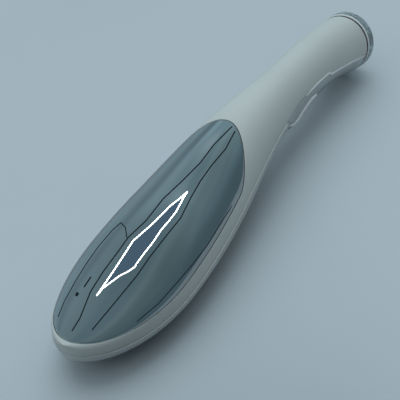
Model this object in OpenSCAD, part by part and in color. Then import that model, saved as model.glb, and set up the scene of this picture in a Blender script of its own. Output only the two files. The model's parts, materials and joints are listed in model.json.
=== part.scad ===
// Heated eye massager wand: a leaf shaped mirror plate on a spoon head, a slim
// arched handle, a clear cover under the handle and a clear cap on its tail.
// Sizes are in millimetres. x runs from the nose to the tail, z up from the table.

/* [Body line] */
// Length of the white body along x, nose to tail end
body_len = 150; // [146:0.5:156]
// Height of the parting line at the nose
nose_h = 9; // [8.5:0.1:9.8]
// Distance from the nose to the parting line's lowest point
dip_at = 18; // [16:0.5:21]
// Height of the parting line at its lowest point
dip_h = 7.9; // [7.7:0.1:8.5]
// Distance from the nose to the crest of the arch
crest_at = 107; // [105:0.5:110]
// Height of the parting line at the crest
crest_h = 16; // [15:0.1:17]

/* [Head] */
// Widest measure of the head
head_w = 35.6; // [34:0.2:38]
// Distance from the nose to the widest place
head_at = 31; // [29:0.5:34]
// Height of the top edge over the parting line at the nose
nose_rise = 2.9; // [2.6:0.1:3.3]
// Greatest height of the crown over the parting line
crown_rise = 10.9; // [10.5:0.1:11.6]
// Distance from the nose to the place where the crown reaches it
crown_at = 51; // [48:0.5:54]
// How square the section of the top is at the nose, 2 is an ellipse
nose_square = 3.6; // [3:0.1:4]
// Bluntness of the belly at the nose
nose_blunt = 1; // [0.6:0.1:1.5]
// Depth of the resting flat that is cut off the belly
rest_cut = 0.25; // [0.15:0.05:0.4]

/* [Handle] */
// Width of the handle at its waist
waist_w = 17.4; // [17:0.2:19]
// Distance from the nose to the waist
waist_at = 116; // [113:0.5:119]
// Diameter of the handle at its tail end
tail_d = 20.2; // [19.8:0.1:22]
// Depth of the throat under the parting line, in front of the clear cover
throat_drop = 8; // [7.6:0.1:8.6]
// Depth of the clear cover in its finger hollow
hollow_drop = 7.9; // [7.7:0.1:8.6]
// Distance from the nose to the deepest place of the finger hollow
hollow_at = 131; // [128:0.5:134]
// How far the lip at the clear cover's front stands below the throat
lip_drop = 2.6; // [1.8:0.1:3]
// Distance from the nose to that lip
lip_at = 105; // [103:0.5:107]

/* [Walls and gaps] */
// Wall of the white housings
wall = 1.8; // [1.6:0.1:2]
// Distance from the nose to the front of the clear cover
cover_at = 96; // [95:0.5:97.5]
// Wall of the clear cover
cover_wall = 1.5; // [1.3:0.1:1.7]
// Wall of the white liner under the clear cover
liner_wall = 0.9; // [0.7:0.1:1.1]
// Gap between moulded pieces that lie against each other
fit_gap = 0.1; // [0.06:0.02:0.14]

/* [Massage plate] */
// Thickness of the mirror plate
plate_t = 1.2; // [1:0.1:1.4]
// White rim in front of the plate at the nose
rim_nose = 1.4; // [1.2:0.1:2]
// White rim beside the plate, seen from above
rim_side = 0.5; // [0.4:0.1:0.9]
// Distance from the nose to the plate's far end
plate_end = 81; // [78:0.5:84]
// Distance from the nose to where the plate starts to close
plate_turn = 61.5; // [58:0.5:65]
// Thickness of the gasket under the plate's rim
gasket_t = 0.5; // [0.4:0.1:0.7]
// Width of the gasket
gasket_w = 1.3; // [1.1:0.1:1.5]
// Thickness of the heater film
heater_t = 0.3; // [0.2:0.05:0.4]
// Thickness of the felt under the heater
felt_t = 1; // [0.8:0.1:1.2]

/* [Tail cap] */
// Length of the clear cap behind the white body
cap_len = 5.2; // [4.6:0.1:6]
// Bevel of the cap's outer edge
cap_bevel = 0.6; // [0.4:0.1:0.8]
// Thickness of the black seal between body and cap
seal_t = 0.7; // [0.6:0.1:0.9]
// Depth of the cap's spigot in the body
spigot_len = 2.6; // [2.2:0.1:3]

/* [Motor] */
// Diameter of the motor can
motor_d = 6; // [5.6:0.1:6.4]
// Length of the motor can
motor_len = 12; // [11:0.5:13]
// Distance from the nose to the front of the motor can
motor_at = 23; // [22.5:0.5:25]
// Height of the motor's axis over the table
motor_h = 6.6; // [6.4:0.1:6.8]
// Wall of the rubber sleeve round the motor
sleeve_t = 0.9; // [0.7:0.1:1]
// Diameter of the motor's shaft
shaft_d = 1; // [0.8:0.1:1.2]
// Radius of the eccentric weight
weight_r = 2.6; // [2.3:0.1:2.8]
// Length of the eccentric weight
weight_len = 4; // [3.5:0.5:4.5]

/* [Electronics] */
// Distance from the nose to the middle of the battery
battery_at = 78; // [77:0.5:79]
// Thickness of the battery
battery_t = 5; // [4.5:0.1:5.4]
// Width of the battery
battery_w = 11; // [10:0.5:12]
// Length of the battery
battery_len = 29; // [26:0.5:30]
// Width of the circuit board
board_w = 9; // [8.6:0.2:9.4]
// Thickness of the circuit board
board_t = 1; // [0.8:0.1:1.2]
// Distance from the nose to the front of the circuit board
board_from = 105; // [104.5:0.5:107]
// Distance from the back of the circuit board to the tail end
board_end = 8; // [7:0.5:10]
// Distance from the nose to the middle of the button
button_at = 121; // [119:0.5:123]
// Diameter of the button
button_d = 8; // [7.4:0.2:8.6]
// Travel of the button
button_travel = 0.3; // [0.2:0.05:0.35]

/* [Hidden] */

$fn = 32;
tail_r = tail_d / 2;
belly_end = head_at + 12;           // the belly rests on the table up to here
throat_at = cover_at - 4;           // from here the throat keeps its depth
lip_len = 22;                       // length of the slope behind the lip
slab = 0.02;                        // a small bite, so that solids join and cuts go through
gap = fit_gap;

// inside of the head
room_at = 7.5;                      // the roof is solid in front of this
floor_t = 1.2;                      // floor of the upper housing under the plate
stack_t = plate_t + heater_t + felt_t + 4 * gap;
post_r = 1.2;                       // posts of the plate
post_spots = [12, 64];
post_gap = 0.15;
pad_t = 0.5;                        // flat landing under the floor for a plate screw
pad_r = 2.2;
heater_ahead = 9;                   // the film reaches this far in front of the widest place
heater_behind = 25;                 // and this far behind it
heater_from = head_at - heater_ahead;
heater_to = head_at + heater_behind;
heater_in = 4.6;                    // the film and the felt lie this far inside the plate's edge
tab_spots = [29, 66];               // snap tabs at both sides of the head
deck_h = 5;                         // underside of the chassis over the table
deck_t = 1.2;
deck_ahead = 4;
deck_len = 41;
deck_from = motor_at - deck_ahead;
deck_to = deck_from + deck_len;
deck_w = 18;
deck_post_at = [25, 37];            // its posts, from its front
deck_post_y = 6;
deck_posts = [for (side = [-1, 1]) [deck_from + deck_post_at[0], side * deck_post_y],
              [deck_from + deck_post_at[1], 0]];
end_t = 1.2;                        // plastic end of the motor
weight_gap = 0.8;

// screws
head_t = 0.9;
head_r = 1.5;
plate_head_r = 1.9;
pilot_r = 0.72;                     // pilot holes in the plastic posts
housing_screw_at = cover_at + 3;
housing_screw_y = 3.6;
post_meet = -0.7;                   // where the posts of both housings meet
screw_seat = -4.2;                  // seat of a housing screw's head

// battery, board and button
battery_low = 3.2;                  // underside of the battery under the body line
battery_ribs = [battery_at - 10, battery_at + 10];
pad_h = 0.6;
board_to = body_len - board_end;
board_drop = 0.6;                   // the board lies this far under the body line at both its ends
switch_t = 1.2;
plunger_t = 0.4;
plunger_r = 1;
press_gap = 0.03;                   // between the button's stem and the plunger
switch_low = board_t + switch_t;
led_ahead = 6.5;                    // from the board's front to the first light
led_behind = 11;                    // from the second light to the board's back
led_spots = [board_from + led_ahead, board_to - led_behind];
flange_r = button_d / 2 + 0.8;
flange_t = 0.6;
button_gap = 0.1;

// clear cover and its seam
cover_step_at = button_at + 4;      // the seam drops here, behind the button
cover_edge_up = 0.6;                // the seam runs this far above the body line beside the button
cover_edge_low = 2.2;               // and this far under it at the tail
seam_skew = 0.35;
tongue_to = cover_at + 7;
tongue_t = 1.3;
liner_from = cover_at + 8;
liner_to = body_len - 4;
liner_in = cover_wall + 3 * gap;

// tail
spigot_r = tail_r - wall - 2 * gap;
spigot_in = spigot_r - 0.8;
port_w = 8.94;
port_h = 3.26;
port_wall = 0.3;
port_set = 0.15;                    // the port's mouth lies this far inside the cap's face

// ---- body line and sections ----
function clamp(u) = min(max(u, 0), 1);
function mix(a, b, u) = a + (b - a) * u;
function ease(u) = (1 - cos(180 * clamp(u))) / 2;
function round_off(u) = sqrt(max(0, 1 - pow(1 - clamp(u), 2)));
function signed_pow(v, e) = sign(v) * pow(abs(v), e);

// the tail sinks until the lower edge of the cap touches the table
function tail_dip(h) = atan(2 * (crest_h - h) / (body_len - crest_at));
function settle(h, turns) =
  turns == 0 ? h
  : settle((cap_len - cap_bevel) * sin(tail_dip(h)) + tail_r * cos(tail_dip(h)), turns - 1);
tail_h = settle(tail_r, 12);

function line_h(x) =
  x < dip_at ? dip_h + (nose_h - dip_h) * pow((dip_at - x) / dip_at, 2)
  : x < crest_at ? mix(dip_h, crest_h, ease((x - dip_at) / (crest_at - dip_at)))
  : crest_h - (crest_h - tail_h) * pow((x - crest_at) / (body_len - crest_at), 2);
function slope(x) =
  x < dip_at ? -2 * (nose_h - dip_h) * (dip_at - x) / pow(dip_at, 2)
  : x < crest_at
    ? (crest_h - dip_h) * PI / 2 * sin(180 * (x - dip_at) / (crest_at - dip_at)) / (crest_at - dip_at)
  : -2 * (crest_h - tail_h) * (x - crest_at) / pow(body_len - crest_at, 2);
function tilt(x) = atan(slope(x));

function half_w(x, g = 0) =
  x < head_at ? (head_w / 2 - g) * round_off((x - g) / (head_at - g))
  : x < waist_at ? mix(head_w, waist_w, ease((x - head_at) / (waist_at - head_at))) / 2 - g
  : mix(waist_w, tail_d, ease((x - waist_at) / (body_len - waist_at))) / 2 - g;
function rise(x) =
  mix(mix(nose_rise, crown_rise, sin(90 * clamp(x / crown_at))), half_w(x),
      ease((x - crown_at) / (waist_at - crown_at)));
function square_top(x) = lookup(x, [[0, nose_square], [45, 2.8], [90, 2.2], [waist_at, 2]]);

function belly(x) = line_h(x) / cos(tilt(x)) + rest_cut;
function low_line(x) =
  x < hollow_at ? mix(throat_drop, hollow_drop, ease((x - cover_at) / (hollow_at - cover_at)))
  : mix(hollow_drop, tail_r, ease((x - hollow_at) / (body_len - hollow_at)));
function drop(x, g = 0) =
  x < head_at ? (belly(x) - g) * round_off((x + nose_blunt - g) / (head_at - g))
  : mix(belly(x), low_line(x), ease((x - belly_end) / (throat_at - belly_end))) - g;
function lip(x) =
  x < cover_at ? 0
  : x < lip_at ? lip_drop * ease((x - cover_at) / (lip_at - cover_at))
  : lip_drop * (1 - ease((x - lip_at) / lip_len));

// a point of the section at x: y across, n square to the body line
function place(x, y, n) = [x - n * sin(tilt(x)), y, line_h(x) + n * cos(tilt(x))];
function upper_pt(x, a, g, r) =
  place(x, half_w(x, g) * signed_pow(cos(a), 2 / square_top(x)),
        (rise(x) - r) * pow(abs(sin(a)), 2 / square_top(x)));
function lower_pt(x, a, g, deeper) =
  place(x, half_w(x, g) * cos(a), (drop(x, g) + deeper) * sin(a));
function ring(x, g, r, steps) = [
  for (i = [0:2 * steps - 1])
    let (a = 180 * i / steps) i <= steps ? upper_pt(x, a, g, r) : lower_pt(x, a, g, 0)
];

// stations along the body: close together at the nose
function nose_stations(from, to, count) =
  [for (i = [1:count]) from + (to - from) * (1 - cos(90 * i / count))];
function even(from, to, count) = [for (i = [0:count]) mix(from, to, i / count)];

// a closed solid from rings of equal length
module loft(rings) {
  m = len(rings[0]);
  k = len(rings);
  sides = [
    for (i = [0:k - 2]) for (j = [0:m - 1])
      let (a = i * m + j, b = i * m + (j + 1) % m)
        each [[a, a + m, b], [b, a + m, b + m]]
  ];
  polyhedron([for (r = rings) each r],
    concat(sides, [[for (j = [0:m - 1]) j], [for (j = [m - 1:-1:0]) (k - 1) * m + j]]));
}

// a closed skin between two grids of equal size
module skin(outer, inner) {
  k = len(outer);
  m = len(outer[0]);
  s = k * m;
  faces = concat(
    [for (i = [0:k - 2]) for (j = [0:m - 2]) let (a = i * m + j)
      each [[a, a + 1, a + m], [a + 1, a + m + 1, a + m]]],
    [for (i = [0:k - 2]) for (j = [0:m - 2]) let (a = s + i * m + j)
      each [[a, a + m, a + 1], [a + 1, a + m, a + m + 1]]],
    [for (i = [0:k - 2]) let (a = i * m, b = i * m + m - 1)
      each [[a, a + m, s + a], [a + m, s + a + m, s + a],
            [b, s + b, b + m], [b + m, s + b, s + b + m]]],
    [for (j = [0:m - 2]) let (a = j, b = (k - 1) * m + j)
      each [[a, s + a, a + 1], [a + 1, s + a, s + a + 1],
            [b, b + 1, s + b], [b + 1, s + b + 1, s + b]]]
  );
  polyhedron(concat([for (r = outer) each r], [for (r = inner) each r]), faces);
}

// ---- the plate's outline and the leaves that follow its dome ----
function leaf_w(x, g) =
  (x < head_at
    ? (head_w / 2 - rim_side - g) * round_off((x - rim_nose - g) / (head_at - rim_nose - g))
    : half_w(x) - rim_side - g)
  * sqrt(max(0, 1 - pow(clamp((x - plate_turn) / (plate_end - g - plate_turn)), 2)));
function dome(x, y) =
  rise(x) * pow(max(0, 1 - pow(min(1, abs(y) / half_w(x)), square_top(x))), 1 / square_top(x));
function leaf_grid(xs, g, depth, across) = [
  for (x = xs) [for (j = [0:across])
    let (y = leaf_w(x, g) * sin(90 * (2 * j / across - 1))) place(x, y, dome(x, y) - depth)]
];
function leaf_stations(g, count) = concat(
  [for (i = [0:count]) rim_nose + g + slab + (head_at - rim_nose - g - slab) * (1 - cos(90 * i / count))],
  [for (i = [1:count]) mix(head_at, plate_turn, i / count)],
  [for (i = [1:count]) plate_turn + (plate_end - g - slab - plate_turn) * sin(90 * i / count)]
);
module leaf(g, top, bottom, count = 8, across = 12) {
  xs = leaf_stations(g, count);
  skin(leaf_grid(xs, g, top, across), leaf_grid(xs, g, bottom, across));
}
module patch(from, to, g, top, bottom, count = 10, across = 8) {
  xs = even(from, to, count);
  skin(leaf_grid(xs, g, top, across), leaf_grid(xs, g, bottom, across));
}

// ---- frames and places ----
module on_line(x) { translate([x, 0, line_h(x)]) rotate([0, -tilt(x), 0]) children(); }
module at_tail() { on_line(body_len) rotate([0, 90, 0]) children(); }   // z leaves the tail
board_front_h = line_h(board_from) - board_drop;
board_back_h = line_h(board_to) - board_drop;
board_tilt = atan((board_back_h - board_front_h) / (board_to - board_from));
board_len = (board_to - board_from) / cos(board_tilt);
function board_line(x) = mix(board_front_h, board_back_h, (x - board_from) / (board_to - board_from));
module on_board(x) { translate([x, 0, board_line(x)]) rotate([0, -board_tilt, 0]) children(); }
function roof(x) = mix(stack_t + floor_t, wall, ease((x - plate_end) / 10));
module row(points) { for (p = points) translate(p) children(); }

// ---- white housings ----
cover_xs = concat(even(cover_at, lip_at, 5), [for (i = [1:8]) mix(lip_at, cover_step_at, i / 8)],
                  [cover_step_at + 1], [for (i = [0:9]) mix(cover_step_at + 2, body_len, i / 9)]);
body_xs = concat(nose_stations(0, head_at, 12), [for (i = [1:24]) mix(head_at, cover_at, i / 24)],
                 [for (i = [1:len(cover_xs) - 1]) cover_xs[i]]);
function edge(x) =
  x < cover_at ? 0
  : x < cover_step_at ? cover_edge_up * ease((x - cover_at) / 10)
  : mix(cover_edge_up, -0.5, ease((x - cover_step_at) / 2))
    - (cover_edge_low - 0.5) * clamp((x - cover_step_at - 2) / 20);

module body_solid() { loft([for (x = body_xs) ring(x, 0, 0, 16)]); }
module upper_room() {
  xs = concat(nose_stations(room_at, head_at, 5),
              [for (i = [1:24]) mix(head_at, body_len + 1, i / 24)]);
  loft([for (x = xs) ring(x, wall, roof(x), 10)]);
}
module lower_room() {
  xs = concat(nose_stations(wall + 0.6, head_at, 7),
              [for (i = [1:14]) mix(head_at, cover_at + 1, i / 14)]);
  loft([for (x = xs) ring(x, wall, 0, 10)]);
}
// everything below or above the seam between the housings, with its folds between the body's rings
module half_space(low) {
  far = 30;
  loft([for (x = concat([-4], body_xs, [body_len + 2]))
    let (s = x + seam_skew, bottom = low ? -far : edge(x) + gap, top = low ? 0 : far)
      [place(s, -head_w, bottom), place(s, head_w, bottom), place(s, head_w, top), place(s, -head_w, top)]]);
}
module plate_recess() {
  leaf(-gap, -3, plate_t + gasket_t + gap, 11, 12);
  leaf(gasket_w + gap, -3, stack_t, 7, 12);
}

module upper_housing() {
  color("whitesmoke") difference() {
    union() {
      difference() {
        intersection() {
          body_solid();
          half_space(false);
        }
        upper_room();
      }
      intersection() {
        body_solid();
        union() {
          for (side = [-1, 1]) on_line(housing_screw_at) translate([0, side * housing_screw_y, 0]) {
            translate([0, 0, post_meet + gap]) cylinder(r = 1.7, h = 8);
            for (turn = [0:90:270]) rotate([0, 0, turn]) hull() {
              translate([0, -0.4, 2]) cube([1.9, 0.8, 6]);
              translate([0, -0.4, 6]) cube([3.2, 0.8, 2]);
            }
          }
          for (x = post_spots) on_line(x) translate([0, 0, rise(x) - roof(x) - pad_t])
            cylinder(r = pad_r, h = pad_t + 0.9);
        }
      }
    }
    plate_recess();
    for (x = post_spots) on_line(x) translate([0, 0, rise(x) - roof(x) - 3])
      cylinder(r = post_r + post_gap, h = 8);
    for (side = [-1, 1]) on_line(housing_screw_at) translate([0, side * housing_screw_y, post_meet - 1])
      cylinder(r = 0.82, h = 5);
    on_line(heater_to + 1) translate([0, 2.2, rise(heater_to) - 6]) cube([3, 3.2, 6 - plate_t - 1]);
  }
}

// a grid along the tongue that reaches under the clear cover
function tongue(g) = [
  for (x = even(cover_at - 4, tongue_to, 6)) [for (a = even(0, 180, 12)) lower_pt(x, -a, g, 0)]
];

// a block along the wall: its middle lies dy inside or outside the wall's inner face
module tab_block(x, side, dy, w, n, h) {
  hull() for (dx = [-2, 2]) on_line(x + dx)
    translate([-0.5, side * (half_w(x + dx) - wall + dy) - w / 2, n]) cube([1, w, h]);
}

module lower_housing() {
  color("whitesmoke") difference() {
    union() {
      difference() {
        intersection() {
          body_solid();
          half_space(true);
          on_line(cover_at - gap) translate([-200, -50, -50]) cube([200, 100, 100]);
        }
        lower_room();
      }
      skin(tongue(cover_wall + gap), tongue(cover_wall + gap + tongue_t));
      for (side = [-1, 1]) on_line(housing_screw_at) translate([0, side * housing_screw_y, -4.9])
        cylinder(r = 2.1, h = 4.9 + post_meet);
      intersection() {
        body_solid();
        union() {
          for (p = deck_posts) translate([p[0], p[1], 0.5]) {
            cylinder(r = 2, h = deck_h - 0.5);
            for (turn = [45, 225]) rotate([0, 0, turn]) hull() {
              translate([0, -0.4, 0]) cube([2, 0.8, deck_h - 1]);
              translate([0, -0.4, 0]) cube([4, 0.8, 1.5]);
            }
          }
          for (x = battery_ribs) on_line(x) translate([-0.6, -12, -12])
            cube([1.2, 24, 12 - battery_low - pad_h]);
        }
      }
      for (x = tab_spots, side = [-1, 1]) {
        tab_block(x, side, -1.05, 1, -2, 3.6);
        tab_block(x, side, -0.15, 1.7, -3, 2);
      }
    }
    for (p = deck_posts) translate([p[0], p[1], deck_h - 3.2]) cylinder(r = pilot_r, h = 4);
    for (side = [-1, 1]) on_line(housing_screw_at) translate([0, side * housing_screw_y, 0]) {
      translate([0, 0, -5]) cylinder(r = 0.95, h = 6);
      translate([0, 0, screw_seat - 4]) cylinder(r = head_r + gap, h = 4);
    }
    translate([-10, -50, -20]) cube([200, 100, 20]);
  }
}

// ---- head ----
module massage_plate() {
  color("silver") difference() {
    union() {
      leaf(0, 0, plate_t, 11, 16);
      for (x = post_spots) on_line(x) translate([0, 0, rise(x) - roof(x)])
        cylinder(r = post_r, h = roof(x) - plate_t / 2);
    }
    for (x = post_spots) on_line(x) translate([0, 0, rise(x) - roof(x) - 1])
      cylinder(r = 0.62, h = roof(x) - plate_t + 0.9);
  }
}

module plate_gasket() {
  function loop(g, depth) = let (xs = leaf_stations(g, 11)) concat(
    [for (x = xs) place(x, leaf_w(x, g), dome(x, leaf_w(x, g)) - depth)],
    [for (i = [len(xs) - 1:-1:0]) place(xs[i], -leaf_w(xs[i], g), dome(xs[i], leaf_w(xs[i], g)) - depth)]);
  loops = [loop(gap, plate_t + gap), loop(gasket_w, plate_t + gap),
           loop(gasket_w, plate_t + gasket_t - gap), loop(gap, plate_t + gasket_t - gap)];
  m = len(loops[0]);
  color("dimgray") polyhedron([for (l = loops) each l],
    [for (r = [0:3]) for (j = [0:m - 1])
      let (a = r * m + j, b = r * m + (j + 1) % m)
      let (c = ((r + 1) % 4) * m + j, d = ((r + 1) % 4) * m + (j + 1) % m)
        each [[a, b, c], [b, d, c]]]);
}

module heater_film() {
  color("orange") patch(heater_from, heater_to, heater_in, plate_t + gap, plate_t + gap + heater_t);
}

module heater_felt() {
  top = plate_t + heater_t + 2 * gap;
  color("gainsboro") patch(heater_from, heater_to, heater_in, top, top + felt_t);
}

module thermistor() {
  color("black") on_line(heater_to + 1.6) translate([0, 0, rise(heater_to) - plate_t - gap - 0.5])
    rotate([90, 0, 0]) cylinder(r = 0.5, h = 2.4, center = true);
}

module plate_screws() {
  color("gray") for (x = post_spots) on_line(x) translate([0, 0, rise(x) - roof(x) - pad_t]) {
    translate([0, 0, -head_t]) cylinder(r = plate_head_r, h = head_t);
    translate([0, 0, -slab]) cylinder(r = 0.6, h = roof(x) - plate_t + pad_t - 0.3);
  }
}

module chassis() {
  color("lightgray") difference() {
    union() {
      translate([deck_from, -deck_w / 2, deck_h]) cube([deck_to - deck_from, deck_w, deck_t]);
      for (x = [motor_at + 0.8, motor_at + motor_len - 2.2])
        translate([x, -6, deck_h]) cube([1.4, 12, motor_h - deck_h + 1.6]);
    }
    translate([motor_at - 9, -weight_r - 1.2, deck_h - 1]) cube([9.2, 2 * weight_r + 2.4, deck_t + 2]);
    along_motor(motor_at - 2) cylinder(r = motor_d / 2 + sleeve_t + 0.02, h = motor_len + 5);
    for (p = deck_posts) translate([p[0], p[1], deck_h - 1]) cylinder(r = 0.9, h = 4);
  }
}
module chassis_screws() {
  color("gray") for (p = deck_posts) translate([p[0], p[1], deck_h + deck_t]) {
    cylinder(r = head_r, h = head_t);
    translate([0, 0, -deck_t - 2.8]) cylinder(r = 0.7, h = deck_t + 2.8 + slab);
  }
}

module along_motor(x) { translate([x, 0, motor_h]) rotate([0, 90, 0]) children(); }
module motor_can() {
  color("silver") along_motor(motor_at) difference() {
    cylinder(d = motor_d, h = motor_len);
    translate([0, 0, -1]) cylinder(d = shaft_d + 0.08, h = motor_len);
  }
}
module motor_end() {
  color("ivory") along_motor(motor_at + motor_len) cylinder(d = motor_d - 0.6, h = end_t);
}
module motor_sleeve() {
  color("black") along_motor(motor_at + 0.4) difference() {
    cylinder(d = motor_d + 2 * sleeve_t, h = motor_len - 0.8);
    translate([0, 0, -1]) cylinder(d = motor_d + 0.04, h = motor_len + 2);
  }
}
module motor_shaft() {
  color("silver") along_motor(motor_at - weight_gap - weight_len)
    cylinder(d = shaft_d, h = weight_gap + weight_len + motor_len - 2);
}
module eccentric_weight() {
  color("goldenrod") along_motor(motor_at - weight_gap - weight_len + 0.2) difference() {
    intersection() {
      cylinder(r = weight_r, h = weight_len - 0.2);
      translate([-0.9, -10, -1]) cube([20, 20, 20]);
    }
    translate([0, 0, -1]) cylinder(d = shaft_d, h = 20);
  }
}

module battery_cell() {
  side = battery_t / 2;
  color("lightsteelblue") on_line(battery_at) translate([-battery_len / 2, 0, side - battery_low])
    rotate([90, 0, 90]) linear_extrude(battery_len) {
      square([battery_w - battery_t, battery_t], center = true);
      for (s = [-1, 1]) translate([s * (battery_w / 2 - side), 0]) circle(r = side);
    }
}
module battery_tape() {
  color("darkslategray") for (x = battery_ribs) on_line(x)
    translate([-1.8, -3, -battery_low - pad_h]) cube([3.6, 6, pad_h - 0.15]);
}

// ---- clear cover and liner ----
function skirt_pt(x, a, g) =
  a < 0 || a > 180 ? place(x, half_w(x, g) * cos(a), -(rise(x) - g) * sin(a))
  : place(x, half_w(x, g) * cos(a), -(drop(x, g) + lip(x)) * sin(a));
function skirt_start(x, g, top) = -asin(top / (top > 0 ? rise(x) - g : drop(x, g) + lip(x)));
function skirt(xs, g, under, steps) = [for (x = xs)
  let (a = skirt_start(x, g, edge(x) - under))
    [for (i = [0:steps]) skirt_pt(x, mix(a, 180 - a, i / steps), g)]];

module clear_cover() {
  color([0.8, 0.9, 0.95, 0.5]) difference() {
    skin(skirt(cover_xs, 0, 0, 16), skirt(cover_xs, cover_wall, 0, 16));
    on_board(button_at) translate([0, 0, -15]) cylinder(d = button_d + 2 * button_gap, h = 12);
  }
}

module handle_liner() {
  xs = even(liner_from, liner_to, 16);
  color("white") difference() {
    skin(skirt(xs, liner_in, 4 * gap, 14), skirt(xs, liner_in + liner_wall, 4 * gap, 14));
    on_board(button_at) translate([0, 0, -15]) cylinder(r = flange_r + 0.3, h = 14);
    for (x = led_spots) on_board(x) translate([0, 0, -15]) cylinder(r = 1.1, h = 14);
  }
}

// ---- button, board and what it carries ----
// how deep the cover's skin lies under the board's frame at the button, at its middle and at y
button_depth =
  (board_line(button_at) - line_h(button_at)) * cos(board_tilt) + drop(button_at) + lip(button_at);
function skin_depth(y) = button_depth - (drop(button_at) + lip(button_at))
  + (drop(button_at, cover_wall) + lip(button_at)) * sqrt(1 - pow(y / half_w(button_at, cover_wall), 2));
flange_low = skin_depth(flange_r) - 1.5 * gap;

module mode_button() {
  r = button_d / 2;
  color("gainsboro") on_board(button_at) rotate_extrude() polygon([
    [0, -switch_low - plunger_t - press_gap], [1.2, -switch_low - plunger_t - press_gap],
    [1.2, -flange_low + flange_t],
    [flange_r, -flange_low + flange_t], [flange_r, -flange_low], [r, -flange_low],
    [r, -button_depth], [r - 0.4, -button_depth - 0.4], [0, -button_depth - 0.4]]);
}
module circuit_board() {
  color("seagreen") on_board(board_from) translate([0, -board_w / 2, -board_t])
    cube([board_len, board_w, board_t]);
}
module switch_body() {
  color("black") on_board(button_at) difference() {
    translate([-2.5, -2.5, -switch_low]) cube([5, 5, switch_t]);
    translate([0, 0, -switch_low - 1])
      cylinder(r = plunger_r + 0.05, h = 1 + plunger_t + button_travel + 0.1);
  }
}
module switch_plunger() {
  color("tan") on_board(button_at) translate([0, 0, -switch_low - plunger_t])
    cylinder(r = plunger_r, h = 2 * plunger_t);
}
module control_chip() {
  color("black") on_board(button_at - 2) translate([-3, -2.5, 0]) cube([6, 5, 1]);
}
module indicator_leds() {
  color("mistyrose") for (x = led_spots) on_board(x) translate([0, 0, -board_t - 0.6]) {
    translate([-0.8, -0.6, 0]) cube([1.6, 1.2, 0.6]);
    translate([0, 0, -0.5]) cylinder(r = 0.5, h = 0.5);
  }
}
module housing_screws() {
  color("gray") for (side = [-1, 1]) on_line(housing_screw_at)
    translate([0, side * housing_screw_y, screw_seat]) {
      translate([0, 0, -head_t]) cylinder(r = head_r, h = head_t);
      translate([0, 0, -slab]) cylinder(r = 0.8, h = 6.2);
    }
}

// ---- tail ----
module stadium(w, h) {
  square([h, w - h], center = true);
  for (s = [-1, 1]) translate([0, s * (w - h) / 2]) circle(d = h);
}
module tail_seal() {
  color("black") at_tail() difference() {
    translate([0, 0, 0.03]) cylinder(r = tail_r - 0.4, h = seal_t - 0.06);
    translate([0, 0, -1]) cylinder(r = spigot_r + 0.03, h = seal_t + 2);
  }
}
module end_cap() {
  color([0.8, 0.9, 0.95, 0.5]) at_tail() difference() {
    rotate_extrude() polygon([
      [0, cap_len], [tail_r - cap_bevel, cap_len], [tail_r, cap_len - cap_bevel], [tail_r, seal_t + 0.3],
      [tail_r - 0.3, seal_t], [spigot_r, seal_t], [spigot_r, -spigot_len], [spigot_in, -spigot_len],
      [spigot_in, -0.6], [spigot_in - 0.8, -0.6], [spigot_in - 0.8, 1.2], [0, 1.2]]);
    linear_extrude(cap_len + 1) stadium(port_w + 0.3, port_h + 0.3);
  }
}
module charge_board() {
  color("seagreen") at_tail() translate([0, 0, -1.65]) cylinder(r = spigot_in - 0.1, h = 1);
}
module charging_port() {
  color("silver") at_tail() difference() {
    translate([0, 0, -0.65]) linear_extrude(cap_len + 0.65 - port_set) stadium(port_w, port_h);
    translate([0, 0, 0.4]) linear_extrude(cap_len) stadium(port_w - 2 * port_wall, port_h - 2 * port_wall);
  }
}
module port_tongue() {
  color("black") at_tail() translate([-0.35, -3.3, 0.4]) cube([0.7, 6.6, cap_len - 1.4]);
}

// ---- leads ----
function spline_at(p, i, t) =
  let (a = p[max(i - 1, 0)], b = p[i], c = p[i + 1], d = p[min(i + 2, len(p) - 1)])
    0.5 * (2 * b + (c - a) * t + (2 * a - 5 * b + 4 * c - d) * t * t + (3 * b - a - 3 * c + d) * t * t * t);
function smooth(p, steps) =
  concat([for (i = [0:len(p) - 2]) for (s = [0:steps - 1]) spline_at(p, i, s / steps)], [p[len(p) - 1]]);
function unit(v) = v / norm(v);
module lead(points, r = 0.45) {
  c = smooth(points, 2);
  k = len(c);
  loft([for (i = [0:k - 1])
    let (t = unit(c[min(i + 1, k - 1)] - c[max(i - 1, 0)]))
    let (s = unit(cross(t, [0.03, 0.2, 1])), u = cross(s, t))
      [for (j = [0:7]) c[i] + r * (cos(45 * j) * s - sin(45 * j) * u)]]);
}
// the second lead of a pair runs beside the first, and beside it on the board too
function beside(points, v, v_end) =
  [for (i = [0:len(points) - 1]) points[i] + (i < len(points) - 2 ? v : v_end)];
apart = 1.1;
screw_round = 3;                    // the leads run this far round the housing screws
board_in = board_from + 0.9;
battery_out = battery_at + battery_len / 2 + 0.1;
motor_out = motor_at + motor_len + end_t + 0.1;

neck_to = housing_screw_at - 7;     // the leads run straight along the neck up to here
function heater_run(k) = mix(heater_to + 3, neck_to, k);
function motor_run(k) = mix(motor_out + 13.7, neck_to, k);

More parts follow.
